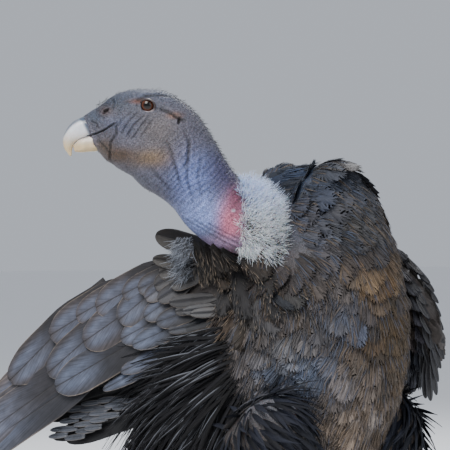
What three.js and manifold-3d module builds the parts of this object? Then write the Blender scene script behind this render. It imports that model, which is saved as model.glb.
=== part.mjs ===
// A life-size female Andean condor, sitting on its folded legs with its breast up and both
// wings drooped, and looking back over its right wing. Millimetres, +Z up. The bird faces -Y
// and its left side is +X. The origin is on the floor, under the middle of the bird.

import * as THREE from "three";
import { mergeVertices } from "three/addons/utils/BufferGeometryUtils.js";
import Module from "manifold-3d";

const wasm = await Module();
wasm.setup();

// Driving dimensions
const gap = 0.35; // clear air between pieces that touch
const vaneThickness = 1; // a feather's vane at its root
const headTurn = 130; // degrees to the bird's right that the neck and the bill point
const neckPlaneForward = -20; // how far the neck's plane lies from the body's axis, along lookAcross
const collarReach = 88; // where the bare neck ends and the white ruff begins, along lookAlong
const eye = { reach: 200, height: 526, across: 21.5, radius: 9, lidRadius: 8.4 };
const nostril = { reach: 249.6, height: 520.6, long: 9, high: 4.6, deep: 5 };
const ear = { reach: 162, height: 505, long: 9, high: 6, deep: 4 };
const tailRoot = { y: 322, z: 84, drop: 11.5 };
const tailLength = 345;
const tailFeathers = 12;
const legs = { left: { x: 69, y: 26 }, right: { x: -96, y: 0 } }; // how far out and back each leg sits
const hock = { y: 42, z: 13 }; // the heel, on the floor
const footForward = 122; // from the heel to the toes' root
const clawLength = 27;

const place = (x, y, z) => new THREE.Vector3(x, y, z);
const X = place(1, 0, 0);
const Z = place(0, 0, 1);
const turn = THREE.MathUtils.degToRad(headTurn);
const lookAlong = place(-Math.sin(turn), -Math.cos(turn), 0); // where the bill points
const lookAcross = place(-Math.cos(turn), Math.sin(turn), 0); // from its left cheek to its right

// A seeded random source, so that every build gives the same bird
function randomSource(seed) {
  let state = seed;
  return () => {
    state = (state * 1664525 + 1013904223) % 4294967296;
    return state / 4294967296;
  };
}

const clampTo = (value, low, high) => Math.min(high, Math.max(low, value));

// Solids

// A closed geometry as a solid, turned to face outwards
function solidOf(geometry) {
  geometry.deleteAttribute("normal");
  geometry.deleteAttribute("uv");
  const merged = mergeVertices(geometry, 1e-4);
  const vertProperties = new Float32Array(merged.attributes.position.array);
  const triVerts = new Uint32Array(merged.index.array);
  let made = new wasm.Manifold(new wasm.Mesh({ numProp: 3, vertProperties, triVerts }));
  if (made.volume() < 0) {
    for (let i = 0; i < triVerts.length; i += 3) {
      [triVerts[i + 1], triVerts[i + 2]] = [triVerts[i + 2], triVerts[i + 1]];
    }
    made = new wasm.Manifold(new wasm.Mesh({ numProp: 3, vertProperties, triVerts }));
  }
  return made;
}

// Rings of points, each the same count, joined into a closed tube with fanned ends
function solidOfRings(rings) {
  const count = rings[0].length;
  const points = rings.flat();
  const index = [];
  for (let r = 0; r + 1 < rings.length; r++) {
    for (let i = 0; i < count; i++) {
      const a = r * count + i;
      const b = r * count + ((i + 1) % count);
      index.push(a, b, b + count, a, b + count, a + count);
    }
  }
  for (const [ring, flip] of [[0, true], [rings.length - 1, false]]) {
    const middle = new THREE.Vector3();
    rings[ring].forEach((p) => middle.add(p));
    points.push(middle.divideScalar(count));
    for (let i = 0; i < count; i++) {
      const a = ring * count + i;
      const b = ring * count + ((i + 1) % count);
      index.push(points.length - 1, flip ? b : a, flip ? a : b);
    }
  }
  const geometry = new THREE.BufferGeometry().setFromPoints(points);
  geometry.setIndex(index);
  return solidOf(geometry);
}

function joined(solids) {
  return wasm.Manifold.union(solids);
}

// Only the largest closed body of a solid
function largest(solid) {
  const bodies = solid.decompose();
  return bodies.reduce((a, b) => (b.volume() > a.volume() ? b : a));
}

// Everything above the floor
const floorBlock = solidOf(new THREE.BoxGeometry(3000, 3000, 400).translate(0, 0, -200));
const aboveFloor = (solid) => solid.subtract(floorBlock);

// A round solid with its middle at a point
function ball(middle, radius, around = 20, rings = 12) {
  const geometry = new THREE.SphereGeometry(radius, around, rings);
  return solidOf(geometry.translate(middle.x, middle.y, middle.z));
}

// A body of changing section along a curve. A station has its middle at, and its half sizes
// towards up (top), away from up (under) and to each side (side).
class Loft {
  constructor(stations, side) {
    this.stations = stations;
    this.side = side.clone();
    this.path = new THREE.CatmullRomCurve3(stations.map((s) => s.at), false, "centripetal");
  }

  size(t, name) {
    const last = this.stations.length - 1;
    const k = clampTo(t * last, 0, last);
    const i = Math.min(Math.floor(k), last - 1);
    const f = k - i;
    const value = (n) => this.stations[clampTo(n, 0, last)][name];
    const [a, b, c, d] = [value(i - 1), value(i), value(i + 1), value(i + 2)];
    const smooth = b + 0.5 * f * (c - a + f * (2 * a - 5 * b + 4 * c - d + f * (3 * (b - c) + d - a)));
    return Math.max(smooth, Math.min(b, c) * 0.9);
  }

  frame(t) {
    const at = this.path.getPoint(t);
    const along = this.path.getTangent(clampTo(t, 0.001, 0.999));
    const up = new THREE.Vector3().crossVectors(this.side, along).normalize();
    const side = new THREE.Vector3().crossVectors(along, up).normalize();
    return { at, along, up, side };
  }

  // How far along the path the section through a point lies
  sectionOf(p) {
    let [low, high] = [0, 1];
    for (let n = 0; n < 24; n++) {
      const t = (low + high) / 2;
      const { at, along } = this.frame(t);
      if (p.clone().sub(at).dot(along) > 0) low = t;
      else high = t;
    }
    return low;
  }

  // How far along the surface at an angle passes a plane, in the loft's first half
  passing(angle, normal, offset) {
    let [low, high] = [0, 0.5];
    for (let n = 0; n < 24; n++) {
      const t = (low + high) / 2;
      if (this.point(t, angle).dot(normal) < offset) low = t;
      else high = t;
    }
    return low;
  }

  // Where the surface lies beside a point of the middle plane, on the side that sign says
  beside(p, sign) {
    const t = this.sectionOf(p);
    const { at, up } = this.frame(t);
    const height = p.clone().sub(at).dot(up);
    const limit = this.size(t, height > 0 ? "top" : "under");
    const angle = sign * Math.acos(clampTo(height / limit, -1, 1));
    return { point: this.point(t, angle), out: this.normal(t, angle), t, angle };
  }

  // The point of the surface at t along and an angle from up, moved out by grow
  point(t, angle, grow = 0) {
    const { at, up, side } = this.frame(t);
    const rise = Math.cos(angle);
    const reach = rise >= 0 ? this.size(t, "top") : this.size(t, "under");
    return at
      .addScaledVector(up, rise * (reach + grow))
      .addScaledVector(side, Math.sin(angle) * (this.size(t, "side") + grow));
  }

  normal(t, angle) {
    const step = 0.01;
    const low = clampTo(t - step, 0, 1);
    const high = clampTo(t + step, 0, 1);
    const along = this.point(high, angle).sub(this.point(low, angle));
    const around = this.point(t, angle + step).sub(this.point(t, angle - step));
    const out = new THREE.Vector3().crossVectors(around, along).normalize();
    const away = this.point(t, angle).sub(this.path.getPoint(t));
    return out.dot(away) < 0 ? out.negate() : out;
  }

  solid({ from = 0, to = 1, rings = 16, around = 20, grow = 0 }) {
    const made = [];
    for (let r = 0; r <= rings; r++) {
      const t = from + ((to - from) * r) / rings;
      const ring = [];
      for (let i = 0; i < around; i++) {
        ring.push(this.point(t, (2 * Math.PI * i) / around, grow));
      }
      made.push(ring);
    }
    return solidOfRings(made);
  }
}

// Feathers

// Half width along a vane, from the quill to the round tip
const vaneShape = [[0, 0.4], [0.38, 0.93], [0.82, 0.88], [1, 0.3]];
// The same for a short broad feather of the back
const broadShape = [[0, 0.5], [0.62, 0.97], [1, 0.42]];
// The same for a narrow lock, which tapers to a point
const lockShape = [[0, 0.8], [0.55, 1], [1, 0.12]];

// A thin curved plate: both faces are split into triangles alike. It starts at root, runs
// along dir with out as its upper face, and bends down by bend, and sideways by sweep, shares
// of its length. vault lifts its middle line.
function vane(feather, grow = 0) {
  const { root, dir, out, bend = 0, sweep = 0, vault = 0, shape = vaneShape } = feather;
  const length = feather.length + 2 * grow;
  const width = feather.width + 2 * grow;
  const thickness = (feather.thickness ?? vaneThickness) + 3 * grow;
  const along = dir.clone().normalize();
  const up = out.clone().addScaledVector(along, -out.dot(along)).normalize();
  const side = new THREE.Vector3().crossVectors(up, along);
  const across = vault ? [-1, 0, 1] : [-1, 1];
  const points = [];
  for (const [s, half] of shape) {
    const middle = root.clone()
      .addScaledVector(along, length * s - grow)
      .addScaledVector(up, -bend * length * s * s)
      .addScaledVector(side, sweep * length * s * s);
    const face = up.clone().addScaledVector(along, 2 * bend * s).normalize();
    const thick = thickness * (1 - 0.35 * s) * 0.5;
    for (const level of [thick, -thick]) {
      for (const a of across) {
        const lift = vault * width * (1 - Math.abs(a)) * half;
        points.push(middle.clone()
          .addScaledVector(side, (a * half * width) / 2)
          .addScaledVector(face, level + lift));
      }
    }
  }
  const n = across.length;
  const row = 2 * n;
  const index = [];
  const quad = (a, b, c, d) => index.push(a, b, c, a, c, d);
  for (let s = 0; s + 1 < shape.length; s++) {
    const o = s * row;
    for (let j = 0; j + 1 < n; j++) {
      quad(o + j, o + j + 1, o + j + 1 + row, o + j + row);
      index.push(o + n + j, o + n + j + 1 + row, o + n + j + 1);
      index.push(o + n + j, o + n + j + row, o + n + j + 1 + row);
    }
    quad(o + n - 1, o + 2 * n - 1, o + 2 * n - 1 + row, o + n - 1 + row);
    quad(o + n, o, o + row, o + n + row);
  }
  const end = (shape.length - 1) * row;
  for (let j = 0; j + 1 < n; j++) {
    quad(n + j, n + j + 1, j + 1, j);
    quad(end + j, end + j + 1, end + n + j + 1, end + n + j);
  }
  const geometry = new THREE.BufferGeometry().setFromPoints(points);
  geometry.setIndex(index);
  return solidOf(geometry);
}

// Body

// Torso: the tail's root first, then up the back to the top of the full breast
const torso = new Loft([
  { x: 0, y: 318, z: 84, top: 18, under: 16, side: 30 },
  { x: 0, y: 292, z: 92, top: 40, under: 36, side: 56 },
  { x: 0, y: 240, z: 106, top: 82, under: 74, side: 84 },
  { x: 0, y: 175, z: 124, top: 122, under: 128, side: 110 },
  { x: 0, y: 105, z: 152, top: 150, under: 164, side: 122 },
  { x: 0, y: 40, z: 198, top: 156, under: 150, side: 121 },
  { x: 0, y: -5, z: 254, top: 140, under: 128, side: 111 },
  { x: 0, y: -28, z: 312, top: 112, under: 99, side: 94 },
  { x: -2, y: -37, z: 366, top: 90, under: 68, side: 76 },
  { x: -8, y: -36, z: 410, top: 70, under: 50, side: 62 },
  { x: -14, y: -30, z: 440, top: 46, under: 32, side: 43 },
  { x: -18, y: -26, z: 456, top: 18, under: 12, side: 18 },
].map((s) => ({ ...s, at: place(s.x, s.y, s.z) })), X.clone().negate());

// Neck and head: one loft in the plane where the bill points. reach is along lookAlong.
const lookPoint = (reach, height, across = 0) => lookAlong.clone()
  .multiplyScalar(reach)
  .addScaledVector(lookAcross, neckPlaneForward + across)
  .setZ(height);
const lookLoft = (stations) => new Loft(
  stations.map((s) => ({ ...s, at: lookPoint(s.reach, s.z, s.across) })),
  lookAcross,
);
const throat = lookLoft([
  { reach: 40, z: 346, top: 44, under: 26, side: 48 },
  { reach: 68, z: 368, top: 49, under: 27, side: 47 },
  { reach: 96, z: 386, top: 45, under: 38, side: 44 },
  { reach: 122, z: 409, top: 43, under: 41, side: 40 },
  { reach: 143, z: 431, top: 47, under: 38, side: 38 },
  { reach: 161, z: 450, top: 54, under: 42, side: 38 },
  { reach: 176, z: 464, top: 60, under: 46, side: 38 },
  { reach: 192, z: 478, top: 63, under: 45, side: 37 },
  { reach: 209, z: 488, top: 62, under: 45, side: 35 },
  { reach: 227, z: 495, top: 53, under: 43, side: 32 },
  { reach: 244, z: 498, top: 42, under: 38, side: 26 },
  { reach: 258, z: 499, top: 31, under: 29, side: 20 },
  { reach: 270, z: 498, top: 23, under: 23, side: 15 },
  { reach: 284, z: 496, top: 13, under: 18, side: 12 },
]);
const headFrom = 0.507; // where the head begins, along the loft

// The raised shoulders that the neck comes out of, behind the ruff
const shoulders = lookLoft([
  { reach: -40, z: 285, across: 18, top: 75, under: 60, side: 78 },
  { reach: -4, z: 338, across: 22, top: 86, under: 60, side: 74 },
  { reach: 30, z: 374, across: 26, top: 92, under: 52, side: 64 },
  { reach: 58, z: 406, across: 30, top: 72, under: 40, side: 48 },
  { reach: 80, z: 428, across: 33, top: 42, under: 18, side: 24 },
]);

// Feathers of the back, in rows from the shoulders to the rump, each as long as three rows
const backRows = { from: 0.52, to: 0.17, count: 4, across: 3, spread: 38, length: 142, width: 74 };
// Long stringy feathers of the flanks, which hang back under the wings
const flankLocks = { from: 0.48, to: 0.34, count: 5, length: 150, width: 17 };

function backFeathers() {
  const random = randomSource(5);
  const feathers = [];
  for (let r = 0; r < backRows.count; r++) {
    const t = THREE.MathUtils.lerp(backRows.from, backRows.to, r / (backRows.count - 1));
    const count = backRows.across + (r % 2);
    for (let i = 0; i < count; i++) {
      const share = (2 * i) / (count - 1) - 1;
      const angle = THREE.MathUtils.degToRad(share * backRows.spread);
      const out = torso.normal(t, angle);
      const dir = torso.point(t - 0.05, angle).sub(torso.point(t, angle)).normalize();
      dir.addScaledVector(out, 0.1);
      const length = backRows.length * (0.92 + 0.16 * random());
      const root = torso.point(t, angle, -5);
      feathers.push({ root, dir, out, length, width: backRows.width, bend: 0.17, shape: broadShape });
    }
  }
  return feathers;
}

function flankFeathers() {
  const random = randomSource(9);
  const feathers = [];
  for (const sign of [-1, 1]) {
    for (let i = 0; i < flankLocks.count; i++) {
      const t = THREE.MathUtils.lerp(flankLocks.from, flankLocks.to, i / flankLocks.count);
      const angle = -sign * THREE.MathUtils.degToRad(96 + 30 * random());
      const out = torso.normal(t, angle);
      const dir = place(sign * (0.16 + 0.14 * random()), 0.93, -0.2 - 0.16 * random());
      const length = flankLocks.length * (0.75 + 0.4 * random());
      const root = torso.point(t, angle, -5);
      feathers.push({ root, dir, out, length, width: flankLocks.width, bend: 0.1, shape: lockShape });
    }
  }
  return feathers;
}

const bodyFeathers = [...backFeathers(), ...flankFeathers()];
const torsoShape = (grow) => joined([
  torso.solid({ rings: 18, around: 20, grow }),
  shoulders.solid({ rings: 6, around: 14, grow }),
  ...bodyFeathers.map((feather) => vane(feather, grow)),
]);
const cutTorso = torsoShape(gap);

// Parts the head from the bills along a slant, the neck from the head across its middle line,
// and the neck from the ruff along an upright
const beyond = (solid, normal, offset) => solid.trimByPlane([normal.x, normal.y, normal.z], offset);
const before = (solid, normal, offset) => beyond(solid, normal.clone().negate(), -offset);
const slant = lookAlong.clone().multiplyScalar(0.866).addScaledVector(Z, -0.5);
const slantOffset = slant.dot(lookPoint(268, 488));
const headCut = throat.frame(headFrom);
const headOffset = headCut.along.dot(headCut.at);
const throatShape = throat.solid({ rings: 24, around: 18 });

// An upright prism across the head, from an outline in reach and height
function acrossHead(outline, halfWidth = 60) {
  const shape = new THREE.Shape(outline.map(([reach, height]) => new THREE.Vector2(reach, height)));
  const geometry = new THREE.ExtrudeGeometry(shape, { depth: 2 * halfWidth, bevelEnabled: false });
  const basis = new THREE.Matrix4().makeBasis(lookAlong, Z, lookAcross);
  return solidOf(geometry.applyMatrix4(basis.setPosition(lookPoint(0, 0, -halfWidth))));
}

// A solid turned so that its Z is out and its Y is as near up as can be
function seated(geometry, at, out, up = Z) {
  const side = new THREE.Vector3().crossVectors(up, out).normalize();
  const basis = new THREE.Matrix4().makeBasis(side, new THREE.Vector3().crossVectors(out, side), out);
  return solidOf(geometry.applyMatrix4(basis.setPosition(at)));
}

// The mouth's line, from its corner to the bill's hook
const mouth = [[239, 503.4], [253, 496], [263, 492], [272, 490.8], [282, 486.6], [289.4, 479]];
const mouthGroove = { half: 0.6, deep: 2.2 };
const lip = { rise: 2.6, half: 2.1 };

// All below the mouth's line and behind the hook, moved back by shift
const jawRegion = (shift = 0) => acrossHead([
  [225, 511 - shift],
  ...mouth.map(([reach, height]) => [reach - 0.6 * shift, height - shift]),
  [290.8 - shift, 472],
  [291.5 - shift, 450],
  [225, 450],
]);

// A soft roll on the skin beside the mouth's line
function lipRoll(sign, rise) {
  const points = [[234, 506], ...mouth.slice(0, 4)];
  const stations = points.map(([reach, height], i) => {
    const { point } = throat.beside(lookPoint(reach, height + rise), sign);
    const half = i === 0 ? 0.8 : lip.half;
    return { at: point, top: half, under: half, side: half * 0.75 };
  });
  return new Loft(stations, lookAcross).solid({ rings: 4, around: 4 });
}

function headShape() {
  const added = [throatShape];
  const cut = [];
  for (const sign of [-1, 1]) {
    const lids = throat.beside(lookPoint(eye.reach, eye.height), sign);
    const lidRing = new THREE.TorusGeometry(eye.lidRadius, 2, 4, 12).scale(1.12, 1, 1.25);
    added.push(seated(lidRing, lids.point.clone().addScaledVector(lids.out, -0.6), lids.out));
    added.push(lipRoll(sign, lip.rise), lipRoll(sign, -lip.rise));
    cut.push(ball(lookPoint(eye.reach, eye.height, sign * eye.across), eye.radius + gap, 14, 8));
    const pits = [[nostril, 0], [ear, -25]];
    for (const [pit, tilt] of pits) {
      const skin = throat.beside(lookPoint(pit.reach, pit.height), sign);
      const hollow = new THREE.SphereGeometry(1, 8, 6).scale(pit.long / 2, pit.high / 2, pit.deep);
      hollow.rotateZ(THREE.MathUtils.degToRad(sign * tilt));
      cut.push(seated(hollow, skin.point, skin.out));
    }
    const fold = throat.beside(lookPoint(ear.reach, ear.height + 0.75 * ear.high), sign);
    const roll = new THREE.SphereGeometry(1, 8, 5).scale(0.8 * ear.long, 1.9, 2.2);
    added.push(seated(roll.rotateZ(THREE.MathUtils.degToRad(sign * -25)), fold.point, fold.out));
  }
  const line = mouth.map(([reach, height]) => [reach, height + mouthGroove.half]);
  const back = mouth.map(([reach, height]) => [reach, height - mouthGroove.half]).reverse();
  const groove = acrossHead([...line, ...back]);
  cut.push(groove.subtract(throat.solid({ from: 0.7, rings: 5, around: 10, grow: -mouthGroove.deep })));
  const whole = joined(added).subtract(joined(cut));
  return before(beyond(whole, headCut.along, headOffset), slant, slantOffset);
}

const upperBill = lookLoft([
  { reach: 256, z: 505, top: 13, under: 16, side: 12 },
  { reach: 272, z: 502, top: 12.5, under: 16, side: 11.5 },
  { reach: 284, z: 497, top: 11.5, under: 15, side: 10 },
  { reach: 293, z: 487, top: 8.5, under: 8.5, side: 7.5 },
  { reach: 296, z: 478, top: 5.5, under: 5.5, side: 4.5 },
  { reach: 295, z: 468, top: 1.2, under: 1.2, side: 1 },
]);
const lowerBill = lookLoft([
  { reach: 250, z: 481, top: 14, under: 8, side: 10.5 },
  { reach: 268, z: 479, top: 14, under: 7.6, side: 10 },
  { reach: 281, z: 475.6, top: 12, under: 5.2, side: 7.6 },
  { reach: 288, z: 473.4, top: 7, under: 2.4, side: 3.6 },
]);

function ruffShape(grow = 0) {
  const random = randomSource(17);
  const pieces = [throat.solid({ to: 0.4, rings: 12, around: 24, grow })];
  const rows = [
    { reach: 84, count: 16, length: 42, lean: 0.95 },
    { reach: 74, count: 16, length: 48, lean: 0.75 },
    { reach: 62, count: 15, length: 52, lean: 0.62 },
  ];
  for (const [r, row] of rows.entries()) {
    for (let i = 0; i < row.count; i++) {
      const angle = (2 * Math.PI * (i + 0.5 * (r % 2) + 0.3 * random())) / row.count;
      const t = throat.passing(angle, lookAlong, row.reach);
      const out = throat.normal(t, angle);
      out.addScaledVector(lookAlong, -out.dot(lookAlong)).normalize();
      const dir = out.clone().multiplyScalar(row.lean).sub(lookAlong);
      const root = throat.point(t, angle, -4);
      const length = row.length * (0.85 + 0.3 * random());
      const lock = { root, dir, out, length, width: 21, thickness: 1.6, bend: 0.22, shape: lockShape };
      pieces.push(vane(lock, grow));
    }
  }
  return before(joined(pieces), lookAlong, collarReach + grow);
}

// Legs: folded under the bird, with the tarsus and the toes flat on the floor
const thighLoft = (leg) => new Loft([
  { out: 4, y: -40, z: 188, half: 14, side: 12 },
  { out: 13, y: -50, z: 164, half: 46, side: 40 },
  { out: 19, y: -46, z: 122, half: 66, side: 50 },
  { out: 17, y: -18, z: 78, half: 60, side: 44 },
  { out: 8, y: 14, z: 44, half: 38, side: 30 },
  { out: 2, y: 34, z: 27, half: 20, side: 19 },
].map((s) => ({
  at: place(leg.x + Math.sign(leg.x) * s.out, leg.y + s.y, s.z), top: s.half, under: s.half, side: s.side,
})), X.clone().negate());
const thighShape = (leg, grow = 0) => thighLoft(leg).solid({ rings: 10, around: 14, grow });

const roundLoft = (stations, side) => new Loft(
  stations.map(([at, half]) => ({ at, top: half, under: half, side: half })),
  side,
);
const tarsusShape = (leg, grow = 0) => roundLoft([
  [9, 0, 8],
  [0, 1, 15],
  [-22, -1, 12.5],
  [-70, -1.5, 11.5],
  [8 - footForward, -1, 13],
  [-footForward, -2, 10],
].map(([back, rise, half]) => [place(leg.x, leg.y + hock.y + back, hock.z + rise), half]),
X.clone().negate()).solid({ rings: 8, around: 9, grow });

// Toes: angle from straight ahead towards the outer side, and length without the claw
const toes = {
  middle: { angle: -2, length: 108, half: 9.5 },
  inner: { angle: -34, length: 70, half: 9 },
  outer: { angle: 27, length: 82, half: 9 },
  hind: { angle: 196, length: 40, half: 8, away: 12 },
};
const footMiddle = (leg) => place(leg.x, leg.y + hock.y - footForward - 8, 9);

function toeLine(leg, toe) {
  const outward = Math.sign(leg.x);
  const angle = THREE.MathUtils.degToRad(toe.angle);
  const dir = place(outward * Math.sin(angle), -Math.cos(angle), 0);
  const side = new THREE.Vector3().crossVectors(dir, Z);
  const from = footMiddle(leg).addScaledVector(X, -outward * (toe.away ?? 0));
  return { dir, side, from };
}

function toeShape(leg, toe, grow = 0) {
  const { dir, side, from } = toeLine(leg, toe);
  const stations = [[0, 1.05], [0.3, 1], [0.42, 0.85], [0.68, 0.92], [0.8, 0.74], [0.95, 0.72], [1, 0.5]];
  return roundLoft(stations.map(([share, size]) => {
    const half = toe.half * size;
    return [from.clone().addScaledVector(dir, share * toe.length).setZ(half * 0.86), half];
  }), side).solid({ rings: 6, around: 6, grow });
}

function clawShape(leg, toe) {
  const { dir, side, from } = toeLine(leg, toe);
  const size = toe.half / 9;
  const stations = [[-5, 6.4, 4.6], [4, 8.6, 5], [12, 9.6, 4.2], [20, 7.6, 2.9], [25, 4.2, 1.7], [clawLength, 2, 0.6]];
  return roundLoft(stations.map(([ahead, height, half]) => [
    from.clone().addScaledVector(dir, toe.length + ahead * size).setZ(height), half * size,
  ]), side).solid({ rings: 5, around: 6 });
}

function footShape(leg) {
  const palm = new THREE.SphereGeometry(1, 8, 6).scale(19, 17, 11);
  const middle = footMiddle(leg);
  palm.translate(middle.x, middle.y, 7);
  return joined([solidOf(palm), ...Object.values(toes).map((toe) => toeShape(leg, toe))]);
}

// Tail
const tailBase = (grow = 0) => new Loft([
  { at: place(0, 292, 92), top: 26, under: 26, side: 40 },
  { at: place(0, 322, 86), top: 18, under: 16, side: 40 },
  { at: place(0, 350, 79), top: 12, under: 11, side: 38 },
  { at: place(0, 384, 71), top: 3, under: 3, side: 24 },
], X.clone().negate()).solid({ rings: 5, around: 12, grow });

function tailShape() {
  const drop = THREE.MathUtils.degToRad(tailRoot.drop);
  const pieces = [tailBase()];
  for (let i = 0; i < tailFeathers; i++) {
    const k = i - (tailFeathers - 1) / 2;
    const fan = THREE.MathUtils.degToRad(3.2 * k);
    const dir = place(Math.sin(fan) * Math.cos(drop), Math.cos(fan) * Math.cos(drop), -Math.sin(drop));
    const height = tailRoot.z + 9 - 2.9 * Math.abs(k) - (k > 0 ? 1.45 : 0);
    pieces.push(vane({
      root: place(4.5 * k, tailRoot.y, height),
      dir,
      out: Z,
      length: tailLength - 0.5 * k * k,
      width: 56 - 0.9 * Math.abs(k),
    }));
  }
  for (const across of [-1, 1]) {
    const dir = place(0.12 * across, Math.cos(drop), 0.07 - Math.sin(drop));
    const root = place(15 * across, tailRoot.y + 6, tailRoot.z + 10 + 0.9 * across);
    pieces.push(vane({ root, dir, out: Z, length: 0.36 * tailLength, width: 52, bend: 0.04 }));
  }
  return joined(pieces);
}

// Wings: along the arm, up across the vanes, and out of their upper face
const wings = {
  left: {
    shoulder: place(120, -22, 286),
    along: place(0.4, 0.76, -0.51),
    out: place(0.8, -0.25, 0.35),
    lead: -44, // its wrist is carried further forward and down
    extra: 18,
  },
  right: {
    shoulder: lookPoint(108, 294, 29),
    along: lookAlong.clone().multiplyScalar(0.777).addScaledVector(lookAcross, 0.362).addScaledVector(Z, -0.515),
    out: lookAlong.clone().multiplyScalar(0.579).addScaledVector(lookAcross, -0.733).addScaledVector(Z, 0.358),
    lead: 0,
    extra: 0,
  },
};
for (const wing of Object.values(wings)) {
  wing.along.normalize();
  wing.out.addScaledVector(wing.along, -wing.out.dot(wing.along)).normalize();
  wing.up = new THREE.Vector3().crossVectors(wing.along, wing.out);
  if (wing.up.z < 0) wing.up.negate();
}
const wingPoint = (wing, a, b, height = 0) => wing.shoulder.clone()
  .addScaledVector(wing.along, a)
  .addScaledVector(wing.up, b)
  .addScaledVector(wing.out, height);

// The arm under the feathers: a along it, its middle b, its thickness over and under, half width
const armStations = [
  { a: -62, b: 22, top: 10, under: 22, half: 28 },
  { a: -30, b: 20, top: 20, under: 24, half: 44 },
  { a: 20, b: 28, top: 22, under: 22, half: 54 },
  { a: 90, b: 46, top: 18, under: 18, half: 66 },
  { a: 160, b: 50, top: 13, under: 14, half: 68 },
  { a: 230, b: 46, top: 9, under: 10, half: 60 },
  { a: 285, b: 40, top: 5, under: 7, half: 46 },
  { a: 315, b: 36, top: 2, under: 3, half: 24 },
];

// Feathers of the upper face, in tiers from the shoulder outwards. Each tip is [a, b], and the
// slant, in degrees, goes from the tier's highest feather to its lowest.
const tiers = [
  { tips: [[72, 66], [60, 36], [50, 6]], length: 62, width: 34, slant: [-10, 8] },
  { tips: [[108, 62], [102, 34], [90, 8]], length: 70, width: 38, slant: [-6, 8] },
  { tips: [[168, 102], [145, 68], [156, 38], [170, 6]], length: 94, width: 46, slant: [6, 4] },
  { tips: [[237, 103], [208, 66], [250, 32]], length: 126, width: 54, slant: [-11, 7] },
  { tips: [[306, 84], [280, 60], [338, 28]], length: 160, width: 60, slant: [-17, 4] },
];
// The flight feathers under them, from the innermost to the outermost
const secondaries = { count: 5, tipA: [376, 446], tipB: [50, 8], length: 225, width: 60, slant: [-7, 1] };
const primaries = { count: 6, tipA: [478, 572], tipB: [52, 28], length: 320, width: 46, slant: [-5, 0] };

// How far the arm's upper face rises at a and b
function armRise(wing, a, b) {
  const last = armStations.length - 1;
  const next = clampTo(armStations.findIndex((s) => s.a > a), 1, last);
  const [s, e] = [armStations[next - 1], armStations[next]];
  const share = clampTo((a - s.a) / (e.a - s.a), 0, 1);
  const mix = (name) => THREE.MathUtils.lerp(s[name], e[name], share);
  const near = clampTo(1 - a / 300, 0, 1);
  const offset = (b - mix("b") - wing.lead * near) / (mix("half") + wing.extra * near);
  return mix("top") * Math.sqrt(Math.max(0.04, 1 - offset * offset));
}

// A vane of the wing from its tip's place, slanted in the wing's plane, at a height over the arm
function wingFeather(wing, [a, b], length, width, slant, sink, rise = 0) {
  const turned = THREE.MathUtils.degToRad(slant);
  const [along, across] = [Math.cos(turned), Math.sin(turned)];
  const near = clampTo(1 - a / 300, 0, 1);
  const tipB = b + wing.lead * near;
  const [rootA, rootB] = [a - length * along, tipB - length * across];
  const height = armRise(wing, rootA, rootB) - sink;
  const dir = wing.along.clone().multiplyScalar(along)
    .addScaledVector(wing.up, across)
    .addScaledVector(wing.out, rise);
  return { root: wingPoint(wing, rootA, rootB, height), dir, out: wing.out, length, width, bend: 0.015 };
}

function wingFeathers(wing) {
  const mix = (range, share) => THREE.MathUtils.lerp(range[0], range[1], share);
  const feathers = [];
  for (const tier of tiers) {
    const last = tier.tips.length - 1;
    for (const [i, tip] of tier.tips.entries()) {
      const slant = mix(tier.slant, i / last);
      feathers.push(wingFeather(wing, tip, tier.length, tier.width, slant, 4.5 - 1.3 * i, 0.035));
    }
  }
  for (const [flight, sink] of [[secondaries, 5], [primaries, 9]]) {
    for (let i = 0; i < flight.count; i++) {
      const share = i / (flight.count - 1);
      const tip = [mix(flight.tipA, share), mix(flight.tipB, share)];
      const depth = sink + 1.35 * (flight.count - 1 - i) * 0.5;
      feathers.push(wingFeather(wing, tip, flight.length, flight.width, mix(flight.slant, share), depth));
    }
  }
  return feathers;
}

// The ruffled feathers that hang over the right shoulder: each from a root to a tip, as [a, b]
const ruffled = [
  { from: [6, 66], to: [-6, 22] },
  { from: [-14, 66], to: [-32, 8] },
  { from: [-34, 58], to: [-60, -24] },
  { from: [-48, 44], to: [-78, -66] },
];
// Those that hang from the left wing's fore edge
const hanging = [
  { from: [-8, -30], to: [5, -86] },
  { from: [18, -38], to: [38, -96] },
  { from: [50, -40], to: [94, -94] },
  { from: [72, -34], to: [118, -78] },
];
// Two loose feathers that stand up behind the neck: from [a, b] on the right wing to a look point
const raised = [
  { from: [-16, 52], to: [192, 374, 66], width: 38 },
  { from: [6, 54], to: [197, 341, 72], width: 42 },
];

// Feathers between two places of a wing, each tip at a height over the arm's middle
function laidFeathers(wing, feathers, height) {
  return feathers.map(({ from, to }) => {
    const root = wingPoint(wing, ...from, armRise(wing, ...from) - 5);
    const dir = wingPoint(wing, ...to, height).sub(root);
    return { root, dir, out: wing.out, length: dir.length(), width: 32, bend: 0.06 };
  });
}

function raisedFeathers(wing) {
  return raised.map(({ from, to, width }) => {
    const root = wingPoint(wing, ...from);
    const dir = lookPoint(...to).sub(root);
    const out = Z.clone().multiplyScalar(0.85).addScaledVector(lookAcross, -0.5);
    return { root, dir, out, length: dir.length(), width, bend: 0.04 };
  });
}

function wingShape(wing) {
  const arm = new Loft(armStations.map((s) => {
    const near = clampTo(1 - s.a / 300, 0, 1);
    return { ...s, at: wingPoint(wing, s.a, s.b + wing.lead * near), side: s.half + wing.extra * near };
  }), wing.up);
  const feathers = wingFeathers(wing);
  if (wing === wings.left) feathers.push(...laidFeathers(wing, hanging, 10));
  else feathers.push(...laidFeathers(wing, ruffled, 34), ...raisedFeathers(wing));
  return joined([arm.solid({ rings: 12, around: 12 }), ...feathers.map((feather) => vane(feather))]);
}

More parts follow.
